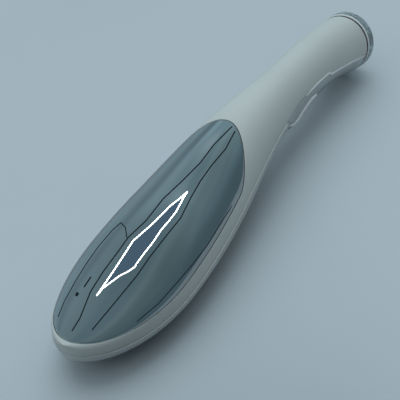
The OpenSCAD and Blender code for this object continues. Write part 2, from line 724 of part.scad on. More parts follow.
heater_route = [
  place(heater_to + 0.4, 4.2, 8.9), place(heater_to + 1.6, 4.2, 8.7), place(heater_to + 2.4, 4.2, 7.2),
  place(heater_run(0), 4.2, 5.4), place(heater_run(0.27), 4.2, 4.4), place(heater_run(0.64), 3, 4.2),
  place(neck_to, 1, 4), place(housing_screw_at, 0.55, 3.8), place(board_in - screw_round, 0.3, 2.4),
  place(board_in, 0.1, 0.2)
];
motor_route = [
  [motor_out, 0.8, motor_h], [motor_out + 1.7, 0.9, motor_h + 0.4], [motor_out + 4.7, 3.2, motor_h + 2.4],
  [motor_run(0), 7.4, motor_h + 2.4], place(motor_run(0.24), 8.6, -1), place(motor_run(0.52), 8.6, -0.4),
  place(motor_run(0.81), 8, 0.4), place(neck_to, 7.3, 0.7), place(housing_screw_at - screw_round, 6.9, 0.7),
  place(housing_screw_at, 6.9, 0.7), place(housing_screw_at + screw_round, 5.6, 0.7),
  place(board_in - 1, 3.9, 0.4), place(board_in, 3.6, 0.2)
];
battery_route = [
  place(battery_out, -0.55, -1), place(battery_out + 2.4, -0.55, -1), place(housing_screw_at, -0.55, -1),
  place(board_in - screw_round, -2.2, -0.4), place(board_in, -3.3, 0.2)
];
charge_route = [
  place(board_to - 1, 1.5, 0.1), place(board_to + 1.2, 2, 0.4), place(body_len - 3.6, 2.4, 0.3),
  place(body_len - 1.8, 2.4, 0.2)
];
module pair(points, v, v_end) {
  lead(points);
  lead(beside(points, v, v_end));
}
module heater_leads() { color("red") pair(heater_route, [0, -apart, 0], [0, -apart, 0]); }
module motor_leads() { color("blue") pair(motor_route, [0, -0.7, 0.9], [0, -apart, 0]); }
module battery_leads() { color("darkred") pair(battery_route, [0, apart, 0], [0, apart, 0]); }
module charge_leads() { color("darkred") pair(charge_route, [0, -apart, 0], [0, -apart, 0]); }

// the origin is on the table, under the middle of the whole wand
front_x = min([for (p = ring(body_xs[0], 0, 0, 16)) p.x]);
tail_tilt = tilt(body_len);
back_x = body_len + max(cap_len * cos(tail_tilt) - (tail_r - cap_bevel) * sin(tail_tilt),
                        (cap_len - cap_bevel) * cos(tail_tilt) - tail_r * sin(tail_tilt));
module set_down() { translate([-(front_x + back_x) / 2, 0, 0]) children(); }

set_down() upper_housing();
set_down() lower_housing();
set_down() massage_plate();
set_down() plate_gasket();
set_down() heater_film();
set_down() heater_felt();
set_down() thermistor();
set_down() plate_screws();
set_down() chassis();
set_down() chassis_screws();
set_down() motor_can();
set_down() motor_end();
set_down() motor_sleeve();
set_down() motor_shaft();
set_down() eccentric_weight();
set_down() battery_cell();
set_down() battery_tape();
set_down() clear_cover();
set_down() handle_liner();
set_down() mode_button();
set_down() circuit_board();
set_down() switch_body();
set_down() switch_plunger();
set_down() control_chip();
set_down() indicator_leds();
set_down() housing_screws();
set_down() tail_seal();
set_down() end_cap();
set_down() charge_board();
set_down() charging_port();
set_down() port_tongue();
set_down() heater_leads();
set_down() motor_leads();
set_down() battery_leads();
set_down() charge_leads();
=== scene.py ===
import json
import math
import bmesh
import bpy
import numpy as np
from mathutils import Matrix, Vector
from mathutils.interpolate import poly_3d_calc


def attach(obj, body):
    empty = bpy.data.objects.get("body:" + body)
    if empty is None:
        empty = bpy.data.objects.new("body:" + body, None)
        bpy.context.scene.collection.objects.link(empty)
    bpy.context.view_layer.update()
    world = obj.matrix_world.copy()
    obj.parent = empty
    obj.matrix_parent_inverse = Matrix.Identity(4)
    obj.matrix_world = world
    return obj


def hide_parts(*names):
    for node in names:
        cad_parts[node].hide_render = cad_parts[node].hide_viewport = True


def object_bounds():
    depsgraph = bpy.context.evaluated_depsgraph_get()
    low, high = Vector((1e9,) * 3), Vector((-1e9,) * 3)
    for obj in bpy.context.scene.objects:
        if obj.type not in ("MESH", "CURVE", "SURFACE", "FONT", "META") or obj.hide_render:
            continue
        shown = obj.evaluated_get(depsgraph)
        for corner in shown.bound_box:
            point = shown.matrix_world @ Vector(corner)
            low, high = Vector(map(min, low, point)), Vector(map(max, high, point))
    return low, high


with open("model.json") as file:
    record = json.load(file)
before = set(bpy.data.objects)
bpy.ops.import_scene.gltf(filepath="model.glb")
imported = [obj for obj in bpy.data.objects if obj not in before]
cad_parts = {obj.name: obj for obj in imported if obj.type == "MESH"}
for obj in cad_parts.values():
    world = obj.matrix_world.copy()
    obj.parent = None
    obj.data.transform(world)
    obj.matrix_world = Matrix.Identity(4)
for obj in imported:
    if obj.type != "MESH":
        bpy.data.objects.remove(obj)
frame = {"nodes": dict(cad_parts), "record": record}
cadBox = [list(map(float, corner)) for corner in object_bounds()]
mm = 0.001
pi = math.pi
weld = 6e-8                                               # points nearer than this, in metres, become one

# Everything below is worked out in millimetres, x from the nose to the tail, and scaled at the end.
wand = {
    "bodyLength": 150, "noseHeight": 9, "dipAt": 18, "dipHeight": 7.9, "crestAt": 107, "crestHeight": 16,
    "headWidth": 35.6, "headAt": 31, "noseRise": 2.9, "crownRise": 10.9, "crownAt": 51, "noseBlunt": 1,
    "squareAt": [0, 45, 90], "square": [3.6, 2.8, 2.2, 2], "bellyLong": 12, "throatAhead": 4,
    "restCut": 0.25, "waistWidth": 17.4, "waistAt": 116, "tailWidth": 20.2, "throatDrop": 8,
    "hollowDrop": 7.9, "hollowAt": 131, "lipDrop": 2.6, "lipAt": 105, "lipLength": 22,
    "wall": 1.8, "coverAt": 96, "fit": 0.1,
}
plate = {"rimNose": 1.4, "rimSide": 0.5, "end": 81, "turn": 61.5, "bed": 1.9}
cover = {"wall": 1.5, "edgeUp": 0.6, "edgeLong": 10, "stepAt": 125, "stepLong": 2, "stepLow": 0.5,
         "edgeLow": 2.2, "fallLong": 20, "round": 0.12, "ends": 0.35, "step": 0.6}
button = {"at": 121, "radius": 4, "play": 0.1}
board = {"from": 105, "to": 142, "drop": 0.6}
cap = {"length": 5.2, "bevel": 0.6, "seal": 0.7}
tailR = wand["tailWidth"] / 2


# the wand's lines, by the same rules as the solids
def clamp(u):
    return np.clip(u, 0, 1)


def mix(a, b, u):
    return a + (b - a) * u


def ease(u):
    return (1 - np.cos(pi * clamp(u))) / 2


def roundOff(u):
    return np.sqrt(np.maximum(0, 1 - (1 - clamp(u)) ** 2))


def restingTail():
    h = tailR
    for _ in range(12):                                   # settles until the cap touches the table
        dip = math.atan(2 * (wand["crestHeight"] - h) / (wand["bodyLength"] - wand["crestAt"]))
        h = (cap["length"] - cap["bevel"]) * math.sin(dip) + tailR * math.cos(dip)
    return h


tailHeight = restingTail()


def lineHeight(x):
    x = np.asarray(x, float)
    dip, crest = wand["dipHeight"], wand["crestHeight"]
    nose = dip + (wand["noseHeight"] - dip) * ((wand["dipAt"] - x) / wand["dipAt"]) ** 2
    arch = mix(dip, crest, ease((x - wand["dipAt"]) / (wand["crestAt"] - wand["dipAt"])))
    back = (x - wand["crestAt"]) / (wand["bodyLength"] - wand["crestAt"])
    tail = crest - (crest - tailHeight) * back ** 2
    return np.where(x < wand["dipAt"], nose, np.where(x < wand["crestAt"], arch, tail))


def tilt(x):
    x = np.asarray(x, float)
    step = 1e-4
    return np.arctan((lineHeight(x + step) - lineHeight(x - step)) / (2 * step))


def halfWidth(x, inset=0.0):
    x = np.asarray(x, float)
    head = (wand["headWidth"] / 2 - inset) * roundOff((x - inset) / (wand["headAt"] - inset))
    neck = mix(wand["headWidth"], wand["waistWidth"],
               ease((x - wand["headAt"]) / (wand["waistAt"] - wand["headAt"]))) / 2 - inset
    grip = mix(wand["waistWidth"], wand["tailWidth"],
               ease((x - wand["waistAt"]) / (wand["bodyLength"] - wand["waistAt"]))) / 2 - inset
    return np.where(x < wand["headAt"], head, np.where(x < wand["waistAt"], neck, grip))


def rise(x):
    crown = mix(wand["noseRise"], wand["crownRise"], np.sin(pi / 2 * clamp(x / wand["crownAt"])))
    return mix(crown, halfWidth(x), ease((x - wand["crownAt"]) / (wand["waistAt"] - wand["crownAt"])))


def squareTop(x):                                         # 2 is an ellipse, more is squarer
    return np.interp(x, [*wand["squareAt"], wand["waistAt"]], wand["square"])


def belly(x):
    return lineHeight(x) / np.cos(tilt(x)) + wand["restCut"]


def underside(x):
    front = mix(wand["throatDrop"], wand["hollowDrop"],
                ease((x - wand["coverAt"]) / (wand["hollowAt"] - wand["coverAt"])))
    toTail = (x - wand["hollowAt"]) / (wand["bodyLength"] - wand["hollowAt"])
    back = mix(wand["hollowDrop"], tailR, ease(toTail))
    return np.where(x < wand["hollowAt"], front, back)


def drop(x, inset=0.0):
    x = np.asarray(x, float)
    front = (belly(x) - inset) * roundOff((x + wand["noseBlunt"] - inset) / (wand["headAt"] - inset))
    bellyEnd = wand["headAt"] + wand["bellyLong"]
    throatAt = wand["coverAt"] - wand["throatAhead"]
    back = mix(belly(x), underside(x), ease((x - bellyEnd) / (throatAt - bellyEnd))) - inset
    return np.where(x < wand["headAt"], front, back)


def lip(x):
    up = wand["lipDrop"] * ease((x - wand["coverAt"]) / (wand["lipAt"] - wand["coverAt"]))
    down = wand["lipDrop"] * (1 - ease((x - wand["lipAt"]) / wand["lipLength"]))
    return np.where(x < wand["coverAt"], 0, np.where(x < wand["lipAt"], up, down))


def seam(x):                                              # the cover's upper edge over the body line
    front = cover["edgeUp"] * ease((x - wand["coverAt"]) / cover["edgeLong"])
    back = mix(cover["edgeUp"], -cover["stepLow"], ease((x - cover["stepAt"]) / cover["stepLong"]))
    fall = clamp((x - cover["stepAt"] - cover["stepLong"]) / cover["fallLong"])
    back = back - (cover["edgeLow"] - cover["stepLow"]) * fall
    return np.where(x < wand["coverAt"], 0, np.where(x < cover["stepAt"], front, back))


def leafWidth(x, inset):
    x = np.asarray(x, float)
    start = plate["rimNose"] + inset
    widest = wand["headWidth"] / 2 - plate["rimSide"] - inset
    head = widest * roundOff((x - start) / (wand["headAt"] - start))
    neck = halfWidth(x) - plate["rimSide"] - inset
    close = clamp((x - plate["turn"]) / (plate["end"] - inset - plate["turn"]))
    return np.where(x < wand["headAt"], head, neck) * np.sqrt(np.maximum(0, 1 - close ** 2))


def dome(x, y):
    k = squareTop(x)
    side = np.minimum(1, np.abs(y) / np.maximum(halfWidth(x), 1e-9))
    return rise(x) * (1 - side ** k) ** (1 / k)


tailTilt = float(tilt(wand["bodyLength"]))
capReach = [cap["length"] * math.cos(tailTilt) - (tailR - cap["bevel"]) * math.sin(tailTilt),
            (cap["length"] - cap["bevel"]) * math.cos(tailTilt) - tailR * math.sin(tailTilt)]
middle = wand["bodyLength"] + max(capReach) - cadBox[1][0] / mm     # the frame's origin, from the nose


def place(x, y, n):                                       # y across, n square to the body line
    x, y, n = np.broadcast_arrays(np.asarray(x, float), y, n)
    t = tilt(x)
    return np.stack([x - n * np.sin(t) - middle, y, lineHeight(x) + n * np.cos(t)], -1) * mm


# making meshes
def resample(points, count):
    steps = np.linalg.norm(np.diff(points, axis=0), axis=1)
    along = np.concatenate([[0], np.cumsum(steps)])
    where = np.linspace(0, along[-1], count)
    return np.stack([np.interp(where, along, points[:, 0]), np.interp(where, along, points[:, 1])], -1)


def makeMesh(name, patches, faces=(), sharp=34):
    mesh = bmesh.new()
    for grid in patches:
        rows, cols = grid.shape[:2]
        verts = [[mesh.verts.new(grid[i, j]) for j in range(cols)] for i in range(rows)]
        for i in range(rows - 1):
            for j in range(cols - 1):
                mesh.faces.new([verts[i][j], verts[i + 1][j], verts[i + 1][j + 1], verts[i][j + 1]])
    for loop in faces:
        mesh.faces.new([mesh.verts.new(p) for p in loop])
    bmesh.ops.remove_doubles(mesh, verts=mesh.verts, dist=weld)
    bmesh.ops.dissolve_degenerate(mesh, edges=mesh.edges, dist=weld)
    bmesh.ops.recalc_face_normals(mesh, faces=mesh.faces)
    data = bpy.data.meshes.new(name)
    mesh.to_mesh(data)
    mesh.free()
    piece = bpy.data.objects.new(name, data)
    bpy.context.scene.collection.objects.link(piece)
    smooth(piece, sharp)
    return piece


def smooth(piece, sharp=34):
    piece.data.polygons.foreach_set("use_smooth", [True] * len(piece.data.polygons))
    piece.data.set_sharp_from_angle(angle=math.radians(sharp))


def closed(rings):                                        # each ring ends where it starts
    return np.concatenate([rings, rings[:, :1]], axis=1)


def lathe(profile, turns=96):
    ang = np.linspace(0, 2 * pi, turns + 1)
    p = np.asarray(profile, float)
    return np.stack([np.outer(np.cos(ang), p[:, 0]), np.outer(np.sin(ang), p[:, 0]),
                     np.broadcast_to(p[:, 1], (turns + 1, len(p)))], -1)


def roundCorners(points, radius, steps=5):                # keeps both ends and the middle of every edge
    pts = [np.array(p, float) for p in points]
    out = [pts[0]]
    for a, b, c in zip(pts, pts[1:], pts[2:]):
        u, v = (a - b), (c - b)
        r = min(radius, np.linalg.norm(u) * 0.48, np.linalg.norm(v) * 0.48)
        p, q = b + u / np.linalg.norm(u) * r, b + v / np.linalg.norm(v) * r
        out += [(1 - t) ** 2 * p + 2 * t * (1 - t) * b + t * t * q for t in np.linspace(0, 1, steps)]
    return np.array(out + [pts[-1]])


def tailMatrix():                                         # z leaves the tail, x points down
    along = Vector((math.cos(tailTilt), 0, math.sin(tailTilt)))
    down = Vector((math.sin(tailTilt), 0, -math.cos(tailTilt)))
    turn = Matrix((down, (0, 1, 0), along)).transposed().to_4x4()
    return Matrix.Translation(Vector(place(wand["bodyLength"], 0, 0))) @ turn @ Matrix.Scale(mm, 4)


def boardMatrix(x):                                       # on the board's frame, z up
    ends = [float(lineHeight(board[k])) - board["drop"] for k in ("from", "to")]
    lean = math.atan((ends[1] - ends[0]) / (board["to"] - board["from"]))
    height = mix(ends[0], ends[1], (x - board["from"]) / (board["to"] - board["from"]))
    spot = Vector(((x - middle) * mm, 0, height * mm))
    return Matrix.Translation(spot) @ Matrix.Rotation(-lean, 4, "Y") @ Matrix.Scale(mm, 4)


def lineMatrix(x, y=0, n=0):                              # on the body line, z square to it
    t = float(tilt(x))
    return Matrix.Translation(Vector(place(x, y, n))) @ Matrix.Rotation(-t, 4, "Y") @ Matrix.Scale(mm, 4)


def cylinder(name, radius, low, high, matrix, sides=64):
    piece = makeMesh(name, [lathe([(0, low), (radius, low), (radius, high), (0, high)], sides)])
    piece.data.transform(matrix)
    return piece


def cut(piece, cutters, sharp=34):
    for tool in cutters:
        step = piece.modifiers.new("cut", "BOOLEAN")
        step.operation = "DIFFERENCE"
        step.solver = "EXACT"
        step.object = tool
    graph = bpy.context.evaluated_depsgraph_get()
    data = bpy.data.meshes.new_from_object(piece.evaluated_get(graph))
    piece.modifiers.clear()
    piece.data = data
    for tool in cutters:
        bpy.data.objects.remove(tool)
    smooth(piece, sharp)
    return piece


def join(piece, others):
    mesh = bmesh.new()
    for o in [piece, *others]:
        mesh.from_mesh(o.data)
    mesh.to_mesh(piece.data)
    mesh.free()
    for o in others:
        bpy.data.objects.remove(o)
    return piece


# finishes
def addNode(tree, kind, inputs=None, **settings):
    node = tree.nodes.new(kind)
    for key, value in settings.items():
        setattr(node, key, value)
    for key, value in (inputs or {}).items():
        if isinstance(value, bpy.types.NodeSocket):
            tree.links.new(value, node.inputs[key])
        else:
            node.inputs[key].default_value = value
    return node


def valueMath(tree, operation, a, b):
    return addNode(tree, "ShaderNodeMath", {0: a, 1: b}, operation=operation).outputs[0]


def finish(name, look):
    material = bpy.data.materials.new(name)
    material.use_nodes = True
    tree = material.node_tree
    tree.nodes.clear()
    out = addNode(tree, "ShaderNodeOutputMaterial")
    shader = addNode(tree, "ShaderNodeBsdfPrincipled")
    if look.get("letsLightIn"):                           # lamps reach what lies behind the clear plastic
        through = addNode(tree, "ShaderNodeBsdfTransparent", {"Color": (*look["letsLightIn"], 1)})
        shadow = addNode(tree, "ShaderNodeLightPath").outputs["Is Shadow Ray"]
        both = addNode(tree, "ShaderNodeMixShader", {0: shadow, 1: shader.outputs[0], 2: through.outputs[0]})
        tree.links.new(both.outputs[0], out.inputs[0])
    else:
        tree.links.new(shader.outputs[0], out.inputs[0])
    for key, value in look.get("set", {}).items():
        shader.inputs[key].default_value = value
    where = addNode(tree, "ShaderNodeTexCoord").outputs["Object"]
    # slow drift of the colour
    patchy = addNode(tree, "ShaderNodeTexNoise",
                     {"Vector": where, "Scale": look["patch"] / mm, "Detail": 3.0})
    tones = addNode(tree, "ShaderNodeValToRGB", {"Fac": patchy.outputs[0]})
    tones.color_ramp.elements[0].position = 0.3
    tones.color_ramp.elements[0].color = (*look["dark"], 1)
    tones.color_ramp.elements[1].position = 0.7
    tones.color_ramp.elements[1].color = (*look["pale"], 1)
    tree.links.new(tones.outputs[0], shader.inputs["Base Color"])
    # fine grain in the gloss and in the surface
    grain = addNode(tree, "ShaderNodeTexNoise", {"Vector": where, "Scale": look["grain"] / mm, "Detail": 4.0})
    smoothest, roughest = look["rough"]
    gloss = addNode(tree, "ShaderNodeMapRange",
                    {"Value": grain.outputs[0], "From Min": 0.25, "From Max": 0.75,
                     "To Min": smoothest, "To Max": roughest})
    tree.links.new(gloss.outputs[0], shader.inputs["Roughness"])
    bump = addNode(tree, "ShaderNodeBump", {"Height": grain.outputs[0], "Strength": look["bump"],
                                            "Distance": look["depth"] * mm})
    if "wave" in look:                                    # long soft unevenness under the grain
        often, deep = look["wave"]
        swell = addNode(tree, "ShaderNodeTexNoise", {"Vector": where, "Scale": often / mm, "Detail": 1.0})
        long = addNode(tree, "ShaderNodeBump", {"Height": swell.outputs[0], "Strength": 1.0,
                                                "Distance": deep * mm})
        tree.links.new(long.outputs[0], bump.inputs["Normal"])
    tree.links.new(bump.outputs[0], shader.inputs["Normal"])
    return material


# patch, grain and the wave's first value are per millimetre, depth and the wave's second value in millimetres
white = {"patch": 0.05, "dark": (0.525, 0.562, 0.560), "pale": (0.552, 0.590, 0.585), "grain": 4.0,
         "rough": (0.36, 0.44), "bump": 0.25, "depth": 0.01,
         "set": {"IOR": 1.5, "Specular IOR Level": 0.45, "Coat Weight": 0.15, "Coat Roughness": 0.3}}
mirror = {"patch": 0.08, "dark": (0.70, 0.73, 0.74), "pale": (0.76, 0.79, 0.80), "grain": 1.5,
          "rough": (0.008, 0.016), "bump": 0.04, "depth": 0.001, "wave": (0.06, 0.0004),
          "set": {"Metallic": 1.0}}
clear = {"patch": 0.06, "dark": (0.88, 0.95, 0.97), "pale": (0.92, 0.98, 1.0), "grain": 2.0,
         "rough": (0.02, 0.06), "bump": 0.1, "depth": 0.004, "letsLightIn": (0.93, 0.95, 0.96),
         "set": {"Transmission Weight": 0.6, "IOR": 1.46, "Specular IOR Level": 0.5}}
# milky frosted plastic whose whiteness stands in for glints on the clear plastic: painted highlight
frostedGlint = {**clear, "dark": (0.9, 0.93, 0.94), "pale": (0.95, 0.97, 0.98), "rough": (0.3, 0.4),
           "set": {"Transmission Weight": 0.1, "IOR": 1.46}}
blackRubber = {"patch": 0.3, "dark": (0.016, 0.018, 0.02), "pale": (0.03, 0.032, 0.035), "grain": 6.0,
               "rough": (0.5, 0.65), "bump": 0.4, "depth": 0.02, "set": {"IOR": 1.45}}
steel = {"patch": 0.3, "dark": (0.42, 0.42, 0.43), "pale": (0.56, 0.56, 0.57), "grain": 5.0,
         "rough": (0.25, 0.4), "bump": 0.2, "depth": 0.01, "set": {"Metallic": 1.0}}
looks = {
    "white_shell": white,
    "mirror_plate": mirror,
    "gasket_rubber": {**blackRubber, "dark": (0.07, 0.07, 0.075), "pale": (0.11, 0.11, 0.115)},
    "heater_foil": {"patch": 0.4, "dark": (0.45, 0.2, 0.04), "pale": (0.58, 0.28, 0.06), "grain": 3.0,
                    "rough": (0.25, 0.4), "bump": 0.3, "depth": 0.02, "set": {"IOR": 1.6}},
    "felt": {"patch": 0.5, "dark": (0.55, 0.54, 0.5), "pale": (0.7, 0.69, 0.65), "grain": 8.0,
             "rough": (0.85, 1.0), "bump": 1.0, "depth": 0.15, "set": {"Sheen Weight": 0.4}},
    "sensor_bead": {**blackRubber, "rough": (0.15, 0.25)},
    "screw_steel": steel,
    "deck_plastic": {**white, "dark": (0.52, 0.53, 0.52), "pale": (0.58, 0.59, 0.58)},
    "motor_steel": {**steel, "dark": (0.55, 0.55, 0.56), "pale": (0.68, 0.68, 0.69), "rough": (0.18, 0.3)},
    "motor_plastic": {**white, "dark": (0.66, 0.62, 0.5), "pale": (0.74, 0.7, 0.58)},
    "sleeve_rubber": blackRubber,
    "weight_brass": {**steel, "dark": (0.5, 0.36, 0.15), "pale": (0.62, 0.46, 0.2)},
    "battery_foil": {**steel, "patch": 0.1, "dark": (0.5, 0.53, 0.58), "pale": (0.62, 0.65, 0.7),
                     "bump": 0.5, "depth": 0.05},
    "tape_foam": {**blackRubber, "dark": (0.03, 0.045, 0.045), "pale": (0.05, 0.065, 0.065)},
    "clear_plastic": clear,
    # paler than the shell's white so that the shaded underside seen through the cover reads brighter: painted
    # light
    "liner_white": {**white, "dark": (0.78, 0.8, 0.8), "pale": (0.84, 0.86, 0.86), "rough": (0.4, 0.5)},
    "button_white": {**white, "dark": (0.5, 0.53, 0.54), "pale": (0.55, 0.58, 0.59), "rough": (0.2, 0.28),
                     "grain": 2.0, "bump": 0.1},
    "board_green": {"patch": 0.4, "dark": (0.01, 0.07, 0.035), "pale": (0.02, 0.12, 0.06), "grain": 3.0,
                    "rough": (0.3, 0.42), "bump": 0.3, "depth": 0.02, "set": {"IOR": 1.55}},
    "switch_black": {**blackRubber, "rough": (0.35, 0.5)},
    "plunger_tan": {**white, "dark": (0.42, 0.32, 0.18), "pale": (0.5, 0.39, 0.23)},
    "chip_black": {**blackRubber, "rough": (0.3, 0.45)},
    "led_lens": {**white, "dark": (0.75, 0.68, 0.64), "pale": (0.82, 0.76, 0.72), "rough": (0.15, 0.25)},
    "seal_black": blackRubber,
    "port_steel": {**steel, "rough": (0.15, 0.28)},
    "tongue_black": {**blackRubber, "rough": (0.35, 0.5)},
    "lead_red": {**blackRubber, "dark": (0.4, 0.02, 0.015), "pale": (0.5, 0.035, 0.03), "rough": (0.35, 0.5)},
    "lead_blue": {**blackRubber, "dark": (0.01, 0.04, 0.3), "pale": (0.02, 0.06, 0.4), "rough": (0.35, 0.5)},
}
finishes = {slot: finish(slot, look) for slot, look in looks.items()}
# the frosted finish of the glint pieces: painted highlight
frostedGlintEdge = finish("frosted_glint_edge", frostedGlint)
clearerDisk = finish("clearer_disk", {**clear, "set": {**clear["set"], "Transmission Weight": 0.9}})
slotOf = {row["node"]: row["material_slot"] for row in frame["record"]["subparts"]}
for nodeName, part in frame["nodes"].items():
    part.data.materials.clear()
    part.data.materials.append(finishes[slotOf[nodeName]])
print("finishes:", len(finishes))


def settle(piece, body, *nodes):                          # finish, slot, body and the solid it stands for
    slot = slotOf[nodes[0]]
    piece.data.materials.clear()
    piece.data.materials.append(finishes[slot])
    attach(piece, body)
    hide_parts(*nodes)
    return piece


# camera, its angles in degrees
view = {"azimuth": -44.57, "elevation": 37.65, "roll": -16.53, "distance": 227.38, "aim": (62.53, 2.36, 8.0),
        "angle": 29.25}


def makeCamera():
    az, el, roll = (math.radians(view[k]) for k in ("azimuth", "elevation", "roll"))
    back = Vector((math.sin(az) * math.cos(el), -math.cos(az) * math.cos(el), math.sin(el)))
    right = Vector((math.cos(az), math.sin(az), 0))
    up = back.cross(right)
    across = right * math.cos(roll) + up * math.sin(roll)
    top = up * math.cos(roll) - right * math.sin(roll)
    aim = Vector((view["aim"][0] - middle, view["aim"][1], view["aim"][2])) * mm
    data = bpy.data.cameras.new("camera")
    data.sensor_width = 36
    data.angle = math.radians(view["angle"])
    data.clip_start = 0.005
    camera = bpy.data.objects.new("camera", data)
    bpy.context.scene.collection.objects.link(camera)
    turn = Matrix((across, top, back)).transposed().to_4x4()
    camera.matrix_world = Matrix.Translation(aim + back * view["distance"] * mm) @ turn
    bpy.context.scene.camera = camera


makeCamera()
print("camera in place")

# white housings
shell = {"seamRound": 0.14, "seamGap": 0.04, "endRound": 0.25, "solidTo": 7.5, "plateRoom": 4, "roomFade": 10,
         "rimInset": [-0.34, -0.24, -0.17, -0.13], "rimDepth": [0.0, 0.02, 0.08, 0.2],
         "lowerRound": 0.12, "lowerDrop": 0.02, "ledge": 0.38, "bellySolid": 1.2,
         "tipStep": 0.002, "leastStep": 0.0035, "insideSteps": 25}
tongue = {"from": -1.5, "to": 7, "thick": 1.3}            # from and to are counted from the cover's front
screws = {"at": 99, "side": 3.6, "headR": 1.6, "holeR": 0.85, "bossR": 2.1,
          "low": -8.2, "seat": -4.2, "top": -0.75}        # heights over the body line


def stations():
    closer = 1 - np.cos(pi / 2 * np.linspace(0, 1, 49))
    head = wand["headAt"] * closer
    leafFront = plate["rimNose"] + (wand["headAt"] - plate["rimNose"]) * closer
    leafBack = plate["turn"] + (plate["end"] - plate["turn"]) * np.sin(pi / 2 * np.linspace(0, 1, 41))
    beside = (-shell["tipStep"], shell["tipStep"])
    tips = [plate["rimNose"] + g + d for g in shell["rimInset"] for d in beside]
    tips += [plate["end"] - g + d for g in shell["rimInset"] for d in beside]
    neck = np.linspace(wand["headAt"], wand["bodyLength"], 131)
    end = wand["bodyLength"] - shell["endRound"] * (1 - np.sin(pi / 2 * np.linspace(0, 1, 6)))
    xs = np.concatenate([head, leafFront, leafBack, tips, neck, end])
    xs = np.unique(np.round(xs, 4))
    keep = np.concatenate([[True], np.diff(xs) > shell["leastStep"]])
    return xs[keep]


def endInset(x):                                          # the rounded end of the tail
    over = max(0.0, x - (wand["bodyLength"] - shell["endRound"]))
    return shell["endRound"] - math.sqrt(max(0.0, shell["endRound"] ** 2 - over ** 2))


def topCurve(x, nFrom, yTo, inset=0.0, count=28):         # the outside from height nFrom up to width yTo
    k = float(squareTop(x))
    hw, up, low = float(halfWidth(x)) - inset, float(rise(x)) - inset, float(drop(x)) - inset
    hw = max(hw, 1e-6)
    sideTo = min(1.0, yTo / hw)
    angleTo = math.atan2((1 - sideTo ** k) ** (1 / k), sideTo)
    points = []
    start = 0.0
    if nFrom < 0:
        a = np.linspace(math.asin(max(-1, nFrom / low)), 0, 30)[:-1]
        points.append(np.stack([hw * np.cos(a), low * np.sin(a)], -1))
    else:
        n = min(1.0, nFrom / up)
        start = math.atan2(n, (1 - n ** k) ** (1 / k))
    a = np.linspace(start, max(angleTo, start), 240)
    r = (np.cos(a) ** k + np.sin(a) ** k) ** (-1 / k)
    points.append(np.stack([hw * r * np.cos(a), up * r * np.sin(a)], -1))
    return resample(np.concatenate(points), count)


def cornerArc(y, n, r, fromAngle, toAngle, steps=5):
    a = np.radians(np.linspace(fromAngle, toAngle, steps))
    return np.stack([y + r * np.cos(a), n + r * np.sin(a)], -1)


def upperRing(x):
    inset = endInset(x)
    low = float(seam(x)) + shell["seamGap"]
    fromNose, fromEnd = x - plate["rimNose"], plate["end"] - x
    reach = min(fromNose, fromEnd)                        # how far inside the plate's outline the station is
    inside = reach > shell["rimInset"][-1]
    widths = [float(leafWidth(x, g)) if x > plate["rimNose"] + g and x < plate["end"] - g else 0.0
              for g in shell["rimInset"]]
    side = topCurve(x, low, widths[0], inset)
    r = min(shell["seamRound"], side[0][0] * 0.4)
    side = topCurve(x, low + r, widths[0], inset)
    y0 = side[0][0]
    foot = cornerArc(y0 - r, low + r, r, -90, 0)[:-1]
    lipPoints = []
    for g, w in zip(shell["rimInset"], widths):
        depth = np.interp(min(g, reach), shell["rimInset"], shell["rimDepth"])
        lipPoints.append((w, float(dome(x, w)) - inset - depth))
    bed = plate["bed"] if inside else np.interp(reach, shell["rimInset"], shell["rimDepth"])
    floor = [(widths[-1] * s, float(dome(x, widths[-1] * s)) - inset - bed) for s in np.linspace(1, 0, 7)]
    right = np.concatenate([foot, side[:-1], np.array(lipPoints), np.array(floor)])
    left = right[::-1][1:] * [-1, 1]
    # inside of the shell, solid near the nose
    innerHalf = max(y0 - wand["wall"], y0 * 0.3)
    if x < shell["solidTo"]:
        ys = np.linspace(-innerHalf, innerHalf, shell["insideSteps"])
        inner = np.stack([ys, np.full(len(ys), low)], -1)
    else:
        under = mix(shell["plateRoom"], wand["wall"], float(ease((x - plate["end"]) / shell["roomFade"])))
        k = float(squareTop(x))
        top = float(rise(x)) - under
        n = np.clip(low / top, -0.3, 0.9)
        start = math.atan2(n, (1 - abs(n) ** k) ** (1 / k))
        a = np.linspace(pi - start, start, shell["insideSteps"])
        swell = (np.abs(np.cos(a)) ** k + np.abs(np.sin(a)) ** k) ** (-1 / k)
        inner = np.stack([innerHalf * swell * np.cos(a), top * swell * np.sin(a)], -1)
        inner[0] = (-innerHalf, low)
        inner[-1] = (innerHalf, low)
    return np.concatenate([right, left, inner])


def makeUpperShell():
    xs = stations()
    rings = [(x, upperRing(x)) for x in xs]
    lastSolid = (shell["solidTo"] - 0.0001, upperRing(shell["solidTo"] - 0.001))
    rings.insert(np.searchsorted(xs, shell["solidTo"]), lastSolid)
    grid = closed(np.array([place(x, r[:, 0], r[:, 1]) for x, r in rings]))
    return makeMesh("upper_shell", [grid], [grid[-1][:-1]])


def lowerCurve(x, nFrom, inset, count=33):                # half of the belly, from the side to the middle
    hw, low = float(halfWidth(x, inset)), float(drop(x, inset))
    a = np.linspace(math.asin(min(1, max(0, nFrom) / low)) if low > 0 else 0, pi / 2, 160)
    return resample(np.stack([hw * np.cos(a), -low * np.sin(a)], -1), count)


